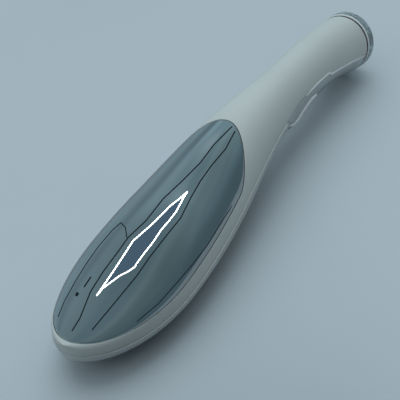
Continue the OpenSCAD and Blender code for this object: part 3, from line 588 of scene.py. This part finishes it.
def lowerRing(x):
    y0 = float(halfWidth(x))
    r = min(shell["lowerRound"], y0 * 0.3)
    ledge = min(shell["ledge"], y0 * 0.1)                 # stands out at the parting line and fades downwards
    edge = -shell["lowerDrop"]
    outer = lowerCurve(x, r - edge, 0.0)
    outer[:, 0] += ledge * np.linspace(1, 0, len(outer)) ** 4
    head = cornerArc(outer[0][0] - r, edge - r, r, 90, 0)[:-1]
    right = np.concatenate([head, outer])
    left = right[::-1][1:] * [-1, 1]
    wall = wand["wall"]
    if x < wall + shell["bellySolid"]:
        ys = np.linspace(-1, 1, 2 * shell["insideSteps"] - 1) * max(y0 - wall, y0 * 0.3)
        inner = np.stack([ys, np.full(len(ys), edge)], -1)
    else:
        half = lowerCurve(x, 0.0, wall, shell["insideSteps"])
        inner = np.concatenate([half[:-1] * [-1, 1], half[::-1]])
        inner[:, 1] = np.minimum(inner[:, 1], edge)
    return np.concatenate([right, left, inner])


def makeLowerShell():
    xs = stations()
    end = wand["coverAt"] - wand["fit"]
    xs = np.concatenate([xs[xs < end - 0.02], [end]])
    grid = closed(np.array([place(x, r[:, 0], r[:, 1]) for x, r in ((x, lowerRing(x)) for x in xs)]))
    grid[..., 2] = np.maximum(grid[..., 2], 0)
    piece = makeMesh("lower_shell", [grid], [grid[-1][:-1]])
    # the tongue that reaches under the clear cover, with its two screw wells
    inset = cover["wall"] + wand["fit"]
    rings = []
    for x in np.linspace(wand["coverAt"] + tongue["from"], wand["coverAt"] + tongue["to"], 18):
        half = lowerCurve(x, 0.0, inset, 25)
        deep = lowerCurve(x, 0.0, inset + tongue["thick"], 25)
        outer = np.concatenate([half, half[::-1][1:] * [-1, 1]])
        inner = np.concatenate([deep[:-1] * [-1, 1], deep[::-1]])
        ring = np.concatenate([outer, inner])
        rings.append(place(x, ring[:, 0], ring[:, 1]))
    grid = closed(np.array(rings))
    reaching = makeMesh("tongue", [grid], [grid[0][:-1], grid[-1][:-1]])
    spots = [lineMatrix(screws["at"], side * screws["side"]) for side in (-1, 1)]
    cut(reaching, [cylinder("well", screws["headR"], screws["low"], screws["seat"], spot) for spot in spots])
    outline = [(screws["holeR"], screws["seat"]), (screws["bossR"], screws["seat"]),
               (screws["bossR"], screws["top"]), (screws["holeR"], screws["top"]),
               (screws["holeR"], screws["seat"])]
    bosses = []
    for spot in spots:
        boss = makeMesh("boss", [lathe(outline, 48)])
        boss.data.transform(spot)
        bosses.append(boss)
    join(piece, [reaching, *bosses])
    smooth(piece)
    return piece


settle(makeUpperShell(), "wand", "upper_housing")
settle(makeLowerShell(), "wand", "lower_housing")
print("white housings done")

# mirror plate
plateEdge = {"inset": [0.16, 0.02, 0.0, 0.0, 0.05, 0.13, 0.26, 0.42],
             "depth": [1.2, 1.15, 1.0, 0.38, 0.22, 0.1, 0.03, 0.0]}
post = {"at": [12, 64], "radius": 1.2, "pilotR": 0.62, "low": 4, "high": 1.25}   # low and high under the top


def leafStations(inset, count=56):
    start, finishAt = plate["rimNose"] + inset, plate["end"] - inset
    s = np.linspace(0, 1, count)
    return np.concatenate([start + (wand["headAt"] - start) * (1 - np.cos(pi / 2 * s)),
                           mix(wand["headAt"], plate["turn"], s[1:]),
                           plate["turn"] + (finishAt - plate["turn"]) * np.sin(pi / 2 * s[1:])])


def leafGrid(inset, depth, across=72):
    xs = leafStations(inset)[:, None]
    ys = leafWidth(xs, inset) * np.sin(np.linspace(-pi / 2, pi / 2, across + 1))[None, :]
    return place(xs + 0 * ys, ys, dome(xs, ys) - depth)


def leafLoop(inset, depth):
    xs = leafStations(inset)
    w = leafWidth(xs, inset)
    n = dome(xs, w) - depth
    return np.concatenate([place(xs, w, n), place(xs, -w, n)[::-1]])


def makePlate():
    loops = closed(np.array([leafLoop(g, d) for g, d in zip(plateEdge["inset"], plateEdge["depth"])]))
    top = leafGrid(plateEdge["inset"][-1], 0.0)
    bottom = leafGrid(plateEdge["inset"][0], plateEdge["depth"][0])
    piece = makeMesh("mirror_plate", [loops, top, bottom], sharp=60)
    posts = []
    for x in post["at"]:                                  # the posts that the screws hold from below
        low, high = float(rise(x)) - post["low"], float(rise(x)) - post["high"]
        outline = [(0, low), (post["pilotR"], low), (post["radius"], low), (post["radius"], high), (0, high)]
        posts.append(makeMesh("post", [lathe(outline, 40)]))
        posts[-1].data.transform(lineMatrix(x))
    join(piece, posts)
    smooth(piece, 60)
    return piece


settle(makePlate(), "wand", "massage_plate")
print("mirror plate done")


# clear cover and the white liner under it
def skirtCurve(x, top, inset, count):                     # from one upper edge under the handle to the other
    hw = float(halfWidth(x, inset))
    low = float(drop(x, inset)) + float(lip(x))
    up = float(rise(x)) - inset
    start = -math.asin(np.clip(top / (up if top > 0 else low), -1, 1))
    a = np.linspace(start, pi - start, 300)
    deep = np.where((a < 0) | (a > pi), up, low)
    return resample(np.stack([hw * np.cos(a), -deep * np.sin(a)], -1), count)


def skirtRing(x, under, inset, wall, r, count=64):
    top = float(seam(x)) - under
    outer = skirtCurve(x, top - r, inset, count)
    inner = skirtCurve(x, top - r, inset + wall, count)[::-1]
    left = [mix(outer[-1], inner[0], (1 - math.cos(t)) / 2) + np.array([0, r * math.sin(t)])
            for t in np.linspace(0, pi, 9)[1:-1]]
    right = [mix(inner[-1], outer[0], (1 - math.cos(t)) / 2) + np.array([0, r * math.sin(t)])
             for t in np.linspace(0, pi, 9)[1:-1]]
    return np.concatenate([outer, np.array(left), inner, np.array(right)])


def skirt(name, xs, under, inset, wall, r, ends):
    rings = []
    for x in xs:
        e = min(x - xs[0], xs[-1] - x)
        soften = ends - math.sqrt(max(0.0, ends ** 2 - max(0.0, ends - e) ** 2)) if ends else 0.0
        ring = skirtRing(x, under + soften, inset + soften, wall - 2 * soften, r)
        rings.append(place(x, ring[:, 0], ring[:, 1]))
    grid = closed(np.array(rings))
    return makeMesh(name, [grid], [grid[0][:-1], grid[-1][:-1]])


def endStations(low, high, step, ends):
    near = ends * (1 - np.cos(np.linspace(0, pi / 2, 6)))
    return np.unique(np.round(np.concatenate([low + near, np.arange(low + ends + step, high - ends, step),
                                              high - near]), 4))


liner = {"from": 104, "to": 146, "inset": 1.8, "wall": 0.9, "under": 0.4, "round": 0.12, "ends": 0.2,
         "step": 0.8, "buttonHole": 5.1, "lightHole": 1.1, "lights": [111.5, 131]}
# frosted beads on the cover, whose milky white is a painted highlight along its lip and upper edge: x from
# and to, degrees below the side and radii at even steps, and how far they stand out
beads = {
    "lip": {"reach": (97.5, 116.8), "angle": [20, 31, 29, 24, 22, 21, 21],
            "swell": [0.2, 0.6, 0.9, 1.1, 1.3, 1.4, 0.3], "proud": 0.4},
    "edge": {"reach": (110, 149), "angle": None, "swell": [0.1, 0.4, 0.4, 0.4, 0.4, 0.4, 0.1], "proud": 0.16},
}


def makeCover():
    xs = endStations(wand["coverAt"], wand["bodyLength"], cover["step"], cover["ends"])
    piece = skirt("clear_cover_shell", xs, 0.0, 0.0, cover["wall"], cover["round"], cover["ends"])
    hole = cylinder("hole", button["radius"] + button["play"], -15, -3, boardMatrix(button["at"]), 96)
    return cut(piece, [hole])


def makeLiner():
    xs = endStations(liner["from"], liner["to"], liner["step"], liner["ends"])
    piece = skirt("white_liner", xs, liner["under"], liner["inset"], liner["wall"], liner["round"],
                  liner["ends"])
    tools = [cylinder("hole", liner["buttonHole"], -15, -1, boardMatrix(button["at"]), 96)]
    tools += [cylinder("hole", liner["lightHole"], -15, -1, boardMatrix(x)) for x in liner["lights"]]
    return cut(piece, tools)


def makeBead(name, bead, side):
    xs = np.linspace(*bead["reach"], 80)
    steps = np.linspace(*bead["reach"], len(bead["swell"]))
    deep = drop(xs) + lip(xs)
    if bead["angle"]:
        angles = np.radians(np.interp(xs, steps, bead["angle"]))
    else:
        angles = np.arcsin(-seam(xs) / deep) + 0.03       # just under the cover's upper edge
    rings = []
    a = np.linspace(0, 2 * pi, 25)[:-1]
    for x, low, angle, r in zip(xs, deep, angles, np.interp(xs, steps, bead["swell"])):
        y = (float(halfWidth(x)) + bead["proud"] - r) * math.cos(angle) + r * np.cos(a)
        n = (low + bead["proud"] - r) * math.sin(angle) + r * np.sin(a)
        rings.append(place(x, side * y, -n))
    grid = closed(np.array(rings))
    return makeMesh(name, [grid], [grid[0][:-1], grid[-1][:-1]])


settle(makeCover(), "wand", "clear_cover")
# the beads take the frosted glint finish: painted highlights along the cover's lip and upper edge
for name, bead in beads.items():
    for hand, side in (("right", -1), ("left", 1)):
        piece = settle(makeBead(f"cover_{name}_{hand}", bead, side), "wand", "clear_cover")
        piece.data.materials[0] = frostedGlintEdge
settle(makeLiner(), "wand", "handle_liner")
print("clear cover and liner done")


# tail
disk = {"proud": 0.2, "round": 0.16, "spigot": 2.6, "spigotR": 8.1, "spigotIn": 7.3, "backR": 6.5,
        "back": -0.6, "face": 1.2, "slotWidth": 9.24, "slotHeight": 3.56}
# the frosted ring behind the seal; its pale band stands in for the clear cap's bright edge line: painted
# highlight
frostedGlintRing = {"long": 0.55, "deep": 0.8, "gap": 0.02, "back": 0.05, "chamfer": 0.1, "round": 0.06}
sealRing = {"inner": 8.16, "gap": 0.05, "round": 0.12}


def makeCap():
    r = tailR + disk["proud"]
    start = cap["seal"] + frostedGlintRing["long"]
    outline = [(0, cap["length"]), (r - cap["bevel"], cap["length"]), (r, cap["length"] - cap["bevel"]),
               (r, start), (r - frostedGlintRing["deep"], start), (r - frostedGlintRing["deep"], cap["seal"]),
               (disk["spigotR"], cap["seal"]), (disk["spigotR"], -disk["spigot"]),
               (disk["spigotIn"], -disk["spigot"]), (disk["spigotIn"], disk["back"]),
               (disk["backR"], disk["back"]), (disk["backR"], disk["face"]), (0, disk["face"])]
    piece = makeMesh("end_cap_disk", [lathe(roundCorners(outline, disk["round"]), 160)])
    cut(piece, [stadium("slot", disk["slotWidth"], disk["slotHeight"], -1, cap["length"] + 1)], 30)
    inner, outer = r - frostedGlintRing["deep"] + frostedGlintRing["gap"], r - frostedGlintRing["back"]
    low, high = cap["seal"] + frostedGlintRing["gap"], start - frostedGlintRing["gap"]
    edge = [(inner, low), (outer - frostedGlintRing["chamfer"], low), (outer, low + frostedGlintRing["chamfer"]),
            (outer, high), (inner, high), (inner, low)]
    ring = makeMesh("end_cap_edge", [lathe(roundCorners(edge, frostedGlintRing["round"]), 160)])
    for part in (piece, ring):                            # lifted, so that the wider disk rests on the table
        part.data.transform(tailMatrix() @ Matrix.Translation((-disk["proud"], 0, 0)))
    return piece, ring


def stadium(name, width, height, low, high):
    r = height / 2
    a = np.linspace(-pi / 2, pi / 2, 25)
    half = np.stack([r * np.sin(a), (width / 2 - r) + r * np.cos(a)], -1)
    outline = np.concatenate([half, half[::-1] * [1, -1]])
    rings = np.array([[(x, y, z) for x, y in outline] for z in (low, high)])
    return makeMesh(name, [closed(rings)], [rings[0], rings[1]])


def makeSeal():
    inner, low, high = sealRing["inner"], sealRing["gap"], cap["seal"] - sealRing["gap"]
    outline = [(inner, low), (tailR, low), (tailR, high), (inner, high), (inner, low)]
    piece = makeMesh("tail_seal_ring", [lathe(roundCorners(outline, sealRing["round"]), 160)])
    piece.data.transform(tailMatrix())
    return piece


# the disk is clearer plastic; the edge ring takes the frosted glint finish, a painted highlight
for piece, material in zip(makeCap(), (clearerDisk, frostedGlintEdge)):
    settle(piece, "wand", "end_cap")
    piece.data.materials[0] = material
settle(makeSeal(), "wand", "tail_seal")
print("tail done")


# mode button
buttonCap = {"skirt": 1.2, "stemR": 1.2, "flange": 0.8, "flangeThick": 0.6, "chamfer": (0.45, 0.4),
             "dishR": 2.6, "dishEdge": 0.12, "dish": 0.3, "round": 0.3}


def makeButton():
    toBoard = boardMatrix(button["at"]).inverted()
    heights = [(toBoard @ v.co).z for v in frame["nodes"]["mode_button"].data.vertices]
    low, high = min(heights), max(heights)
    r = button["radius"]
    wide = r + buttonCap["flange"]
    flangeLow = min(z for z in heights if z > low + buttonCap["skirt"])
    flangeHigh = flangeLow + buttonCap["flangeThick"]
    inward, upward = buttonCap["chamfer"]
    outline = [(0, high), (buttonCap["stemR"], high), (buttonCap["stemR"], flangeHigh), (wide, flangeHigh),
               (wide, flangeLow), (r, flangeLow), (r, low + upward), (r - inward, low),
               (buttonCap["dishR"], low + buttonCap["dishEdge"]), (0, low + buttonCap["dish"])]
    piece = makeMesh("mode_button_cap", [lathe(roundCorners(outline, buttonCap["round"], 6), 128)])
    piece.data.transform(boardMatrix(button["at"]))
    return piece


settle(makeButton(), "button", "mode_button")
print("button done")

# table, lamp and flag
table = {"colour": (0.485, 0.540, 0.585), "inMirror": 0.5, "reach": 3.0}     # reach in metres


def makeTable():
    s = table["reach"]
    data = bpy.data.meshes.new("table")
    data.from_pydata([(-s, -s, 0), (s, -s, 0), (s, s, 0), (-s, s, 0)], [], [(0, 1, 2, 3)])
    floor = bpy.data.objects.new("table", data)
    bpy.context.scene.collection.objects.link(floor)
    look = {"patch": 0.01, "dark": tuple(c * 0.97 for c in table["colour"]), "pale": table["colour"],
            "grain": 1.0, "rough": (0.55, 0.65), "bump": 0.1, "depth": 0.01,
            "set": {"Specular IOR Level": 0.25}}
    material = finish("table_top", look)
    tree = material.node_tree
    shader = [node for node in tree.nodes if node.type == "BSDF_PRINCIPLED"][0]
    colour = shader.inputs["Base Color"].links[0].from_socket
    # the mirror shows the table darker, as if in the tent's shade
    glossy = addNode(tree, "ShaderNodeLightPath").outputs["Is Glossy Ray"]
    level = addNode(tree, "ShaderNodeMapRange", {"Value": glossy, "To Min": 1.0,
                                                 "To Max": table["inMirror"]}).outputs[0]
    scaled = addNode(tree, "ShaderNodeVectorMath", {0: colour, "Scale": level}, operation="SCALE").outputs[0]
    tree.links.new(scaled, shader.inputs["Base Color"])
    data.materials.append(material)


makeTable()

lamp = {"direction": (0.50, 0.28, 0.82), "spread": 55, "strength": 1.16, "colour": (0.865, 1.0, 1.055)}


def makeLamp():
    data = bpy.data.lights.new("lamp", "SUN")
    data.angle = math.radians(lamp["spread"])
    data.energy = lamp["strength"]
    data.color = lamp["colour"]
    light = bpy.data.objects.new("lamp", data)
    bpy.context.scene.collection.objects.link(light)
    way = Vector(lamp["direction"]).normalized()
    light.location = way
    light.rotation_euler = way.to_track_quat("Z", "Y").to_euler()
    light.visible_glossy = False
    light.visible_transmission = False


makeLamp()

flag = {"at": (-112, -42, 42), "facing": (0.62, 0.75, -0.2), "width": 130, "height": 70}


def makeFlag():                                           # out of sight, it keeps light off the nose
    w, h = flag["width"] / 2 * mm, flag["height"] / 2 * mm
    data = bpy.data.meshes.new("flag")
    data.from_pydata([(-w, -h, 0), (w, -h, 0), (w, h, 0), (-w, h, 0)], [], [(0, 1, 2, 3)])
    data.materials.append(finish("flag_cloth", {**blackRubber, "rough": (0.9, 1.0)}))
    piece = bpy.data.objects.new("flag", data)
    bpy.context.scene.collection.objects.link(piece)
    piece.location = Vector(flag["at"]) * mm
    piece.rotation_euler = Vector(flag["facing"]).to_track_quat("Z", "Y").to_euler()
    for ray in ("camera", "glossy", "transmission"):
        setattr(piece, "visible_" + ray, False)


makeFlag()
print("table, lamp and flag done")

# light tent that the mirror shows
tent = {
    "ambient": {"toward": (0.1, 0.5, 0.86), "bright": (0.57, 0.65, 0.68), "dim": (0.19, 0.195, 0.19),
                "reach": (-0.5, 0.9)},
    "shown": (0.337, 0.434, 0.491),
    # the walls in the mirror, along y of the sky's flat chart (x, y) / (1 + z)
    "walls": [(-1.0, (0.075, 0.115, 0.135)), (-0.55, (0.064, 0.104, 0.126)), (-0.30, (0.070, 0.114, 0.136)),
              (-0.05, (0.082, 0.128, 0.145)), (0.10, (0.098, 0.148, 0.165)), (0.18, (0.122, 0.182, 0.204)),
              (0.24, (0.104, 0.162, 0.190)), (0.34, (0.108, 0.168, 0.196)), (0.37, (0.140, 0.208, 0.236)),
              (0.43, (0.155, 0.230, 0.264)), (0.49, (0.125, 0.188, 0.218)), (0.62, (0.180, 0.265, 0.305)),
              (0.90, (0.190, 0.278, 0.325))],
    # a paler band from one x to another and how much paler, and where it fades out along y
    "nearX": (0.08, 0.22, 1.35), "farX": (0.22, 0.32, 1.25), "fade": (-0.40, -0.05), "fadeUp": (0.38, 0.46),
    "spot": {"at": (0.240, 0.310, 0), "reach": 0.075, "core": 0.15, "share": 0.6,
             "colour": (0.290, 0.385, 0.425)},
    "folds": {"scale": 7.0, "detail": 2.0, "level": (0.94, 1.06)},
}


def eased(tree, value, start, end, low, high):
    inputs = {"Value": value, "From Min": start, "From Max": end, "To Min": low, "To Max": high}
    return addNode(tree, "ShaderNodeMapRange", inputs, interpolation_type="SMOOTHSTEP").outputs[0]


def vectorMath(tree, operation, a, b):
    node = addNode(tree, "ShaderNodeVectorMath", {0: a, 1: b}, operation=operation)
    return node.outputs["Value" if operation in ("DOT_PRODUCT", "DISTANCE") else "Vector"]


def blendColour(tree, share, a, b):
    node = addNode(tree, "ShaderNodeMix", data_type="RGBA")
    for key, value in (("Factor", share), ("A", a), ("B", b)):
        socket = [s for s in node.inputs if s.name == key and (s.type == "RGBA" or key == "Factor")][0]
        if isinstance(value, bpy.types.NodeSocket):
            tree.links.new(value, socket)
        else:
            socket.default_value = (*value, 1) if isinstance(value, tuple) else value
    return [s for s in node.outputs if s.type == "RGBA"][0]


def tentWalls(tree, way):
    x, y, z = addNode(tree, "ShaderNodeSeparateXYZ", {0: way}).outputs
    under = valueMath(tree, "MAXIMUM", valueMath(tree, "ADD", z, 1.0), 0.05)
    across, along = valueMath(tree, "DIVIDE", x, under), valueMath(tree, "DIVIDE", y, under)
    spot = addNode(tree, "ShaderNodeCombineXYZ", {0: across, 1: along}).outputs[0]
    onRamp = addNode(tree, "ShaderNodeMapRange", {"Value": along, "From Min": -1.0, "From Max": 1.0})
    ramp = addNode(tree, "ShaderNodeValToRGB", {"Fac": onRamp.outputs[0]})
    stops = ramp.color_ramp.elements
    while len(stops) < len(tent["walls"]):
        stops.new(0.5)
    for stop, (at, colour) in zip(stops, tent["walls"]):
        stop.position = (at + 1) / 2
        stop.color = (*colour, 1)
    level = eased(tree, across, *tent["nearX"][:2], 1.0, tent["nearX"][2])
    level = valueMath(tree, "MULTIPLY", level, eased(tree, across, *tent["farX"][:2], 1.0, tent["farX"][2]))
    level = valueMath(tree, "SUBTRACT", level, 1.0)
    level = valueMath(tree, "MULTIPLY", level, eased(tree, along, *tent["fade"], 0.0, 1.0))
    level = valueMath(tree, "MULTIPLY", level, eased(tree, along, *tent["fadeUp"], 1.0, 0.0))
    level = valueMath(tree, "ADD", level, 1.0)
    folds = tent["folds"]
    noise = addNode(tree, "ShaderNodeTexNoise",
                    {"Vector": spot, "Scale": folds["scale"], "Detail": folds["detail"]})
    uneven = addNode(tree, "ShaderNodeMapRange", {"Value": noise.outputs[0], "From Min": 0.3, "From Max": 0.7,
                                                  "To Min": folds["level"][0], "To Max": folds["level"][1]})
    level = valueMath(tree, "MULTIPLY", level, uneven.outputs[0])
    walls = addNode(tree, "ShaderNodeVectorMath", {0: ramp.outputs[0], "Scale": level}, operation="SCALE")
    bright = tent["spot"]
    away = vectorMath(tree, "DISTANCE", spot, bright["at"])
    share = eased(tree, away, bright["reach"] * bright["core"], bright["reach"], bright["share"], 0.0)
    return blendColour(tree, share, walls.outputs[0], bright["colour"])


def makeTent():
    world = bpy.data.worlds.new("tent")
    bpy.context.scene.world = world
    world.use_nodes = True
    tree = world.node_tree
    tree.nodes.clear()
    way = addNode(tree, "ShaderNodeTexCoord").outputs["Generated"]
    glossy = addNode(tree, "ShaderNodeBackground", {"Color": tentWalls(tree, way)})
    soft = tent["ambient"]
    toward = vectorMath(tree, "DOT_PRODUCT", way, tuple(Vector(soft["toward"]).normalized()))
    share = eased(tree, toward, *soft["reach"], 0.0, 1.0)
    ambient = blendColour(tree, share, soft["dim"], soft["bright"])
    diffuse = addNode(tree, "ShaderNodeBackground", {"Color": ambient})
    seen = addNode(tree, "ShaderNodeBackground", {"Color": (*tent["shown"], 1)})
    path = addNode(tree, "ShaderNodeLightPath")
    straight = valueMath(tree, "MAXIMUM", path.outputs["Is Camera Ray"], path.outputs["Is Transmission Ray"])
    plain = addNode(tree, "ShaderNodeMixShader", {0: straight, 1: diffuse.outputs[0], 2: seen.outputs[0]})
    whole = addNode(tree, "ShaderNodeMixShader", {0: path.outputs["Is Glossy Ray"], 1: plain.outputs[0],
                                                  2: glossy.outputs[0]})
    out = addNode(tree, "ShaderNodeOutputWorld")
    tree.links.new(whole.outputs[0], out.inputs[0])


makeTent()

# Seams, rod, clip and lamp are drawn where the mirror shows them, in points of a 400 by 400 picture, and put
# there by following each sight line over the mirror to a ball around the plate.
ball = {"at": (-36, 0, 0), "radius": 95, "leastUp": 0.3}  # only what faces up by leastUp is mirror
glow = {"seam": (0.012, 0.020, 0.024), "lamp": (0.083, 0.138, 0.195), "lampEdge": (6.0, 6.4, 6.6)}
seams = {                                                 # width in picture points and line
    "left_seam": (1.3, [(232.4, 126.1), (214, 144.5), (200.2, 162.9), (181.8, 181.3), (163.4, 198.5),
                        (145.9, 220.8), (128.1, 237.5), (117.4, 252.6), (103.6, 271), (90.5, 291.7),
                        (80, 318), (72, 331)]),
    "right_seam": (1.3, [(236.5, 128.5), (225.5, 149.1), (211.7, 165.2), (200.2, 181.3), (191, 197.4),
                         (180.6, 218.1), (165.7, 236.5), (149.6, 257.2), (137, 275.6), (112, 306),
                         (92, 330)]),
    "front_seam": (1.0, [(240.4, 192.8), (225.5, 215.8), (207.1, 245.7), (191, 266.4), (177.2, 282.5),
                         (158.8, 303.2), (137, 321.6)]),
    "back_seam": (0.9, [(120.8, 222.7), (112.8, 229.6), (99, 245.7), (87.5, 261.8), (76, 280.2),
                        (64.5, 300.9), (58, 317)]),
    "joining_seam": (1.1, [(120.8, 222.7), (125.4, 227.3), (126.8, 237.6)]),
    "rod": (1.5, [(91, 276.7), (84, 287.1)]),
    "clip": (3.0, [(78, 292.5), (76, 296)]),
}
ringLamp = {
    "left": [(96.6, 295.8), (113, 271.7), (130.8, 244.4), (132.6, 241.2), (140.3, 234.5), (152.9, 223.4),
             (161.3, 215), (170.7, 205.5), (180.2, 198.2), (187.5, 191.5)],
    "right": [(96.6, 295.8), (102.5, 288.5), (110.9, 282.2), (119.3, 275.9), (127.7, 271.7), (135.3, 266.6),
              (136.1, 264.3), (144.5, 252.8), (152.9, 242.3), (161.3, 229.7), (168.6, 221.3), (176, 211.8),
              (183.3, 198.2), (187.5, 191.5)],
    "width": 1.05, "uneven": 0.35, "ripple": 2.1,
}
halfPicture = 200
mirrorPiece = bpy.data.objects["mirror_plate"]


def sightLine(column, row):
    camera = bpy.context.scene.camera
    reach = math.tan(camera.data.angle / 2) / halfPicture
    way = Vector(((column - halfPicture) * reach, (halfPicture - row) * reach, -1))
    return camera.matrix_world.translation, (camera.matrix_world.to_3x3() @ way).normalized()


def overTheMirror(column, row, nearer):                   # where the mirror's view of a picture point ends
    start, way = sightLine(column, row)
    hit, spot, flat, face = mirrorPiece.ray_cast(start, way)
    if not hit or flat.z < ball["leastUp"]:
        return None
    corners = [mirrorPiece.data.vertices[i] for i in mirrorPiece.data.polygons[face].vertices]
    shares = poly_3d_calc([corner.co for corner in corners], spot)
    up = sum((corner.normal * share for corner, share in zip(corners, shares)), Vector()).normalized()
    way = way - 2 * way.dot(up) * up
    off = spot - Vector(ball["at"]) * mm
    radius = ball["radius"] * mm - nearer
    along = off.dot(way)
    return spot + way * (math.sqrt(along * along - off.length_squared + radius * radius) - along)


def makeGlow(name, colour):
    material = bpy.data.materials.new(name)
    material.use_nodes = True
    tree = material.node_tree
    tree.nodes.clear()
    shine = addNode(tree, "ShaderNodeEmission", {"Color": (*colour, 1)})
    out = addNode(tree, "ShaderNodeOutputMaterial")
    tree.links.new(shine.outputs[0], out.inputs[0])
    return material


def hang(name, sideA, sideB, colour, steps, rows, nearer):    # a sheet between two lines of the picture
    sideA, sideB = resample(np.array(sideA, float), steps), resample(np.array(sideB, float), steps)
    points, faces = [], []
    for a, b in zip(sideA, sideB):
        row = [overTheMirror(*mix(a, b, share), nearer) for share in np.linspace(0, 1, rows)]
        if None not in row:
            points += row
    for i in range(len(points) // rows - 1):
        for j in range(rows - 1):
            k = i * rows + j
            faces.append((k, k + 1, k + rows + 1, k + rows))
    data = bpy.data.meshes.new(name)
    data.from_pydata([tuple(point) for point in points], [], faces)
    data.materials.append(makeGlow(name, colour))
    thing = bpy.data.objects.new(name, data)
    bpy.context.scene.collection.objects.link(thing)
    for ray in ("camera", "diffuse", "transmission", "volume_scatter", "shadow"):
        setattr(thing, "visible_" + ray, False)


def strip(name, line, width, colour, steps, nearer, uneven=0.0):
    line = resample(np.array(line, float), steps)
    along = np.gradient(line, axis=0)
    square = np.stack([-along[:, 1], along[:, 0]], -1) / np.linalg.norm(along, axis=1)[:, None]
    wide = width / 2 * (1 + uneven * np.sin(np.arange(steps) * ringLamp["ripple"]))[:, None]
    hang(name, line + square * wide, line - square * wide, colour, steps, rows=2, nearer=nearer)


# nearer is in metres, so that the lamp's edges lie in front of the seams and these in front of its glow
hang("lamp_glow", ringLamp["left"], ringLamp["right"], glow["lamp"], steps=60, rows=5, nearer=0.001)
for name, (width, line) in seams.items():
    strip(name, line, width, glow["seam"], steps=90, nearer=0.002)
for side in ("left", "right"):
    strip("lamp_" + side, ringLamp[side], ringLamp["width"], glow["lampEdge"], steps=120, nearer=0.003,
          uneven=ringLamp["uneven"])
bpy.context.scene.view_settings.view_transform = "Standard"
print("tent and its lamp done")
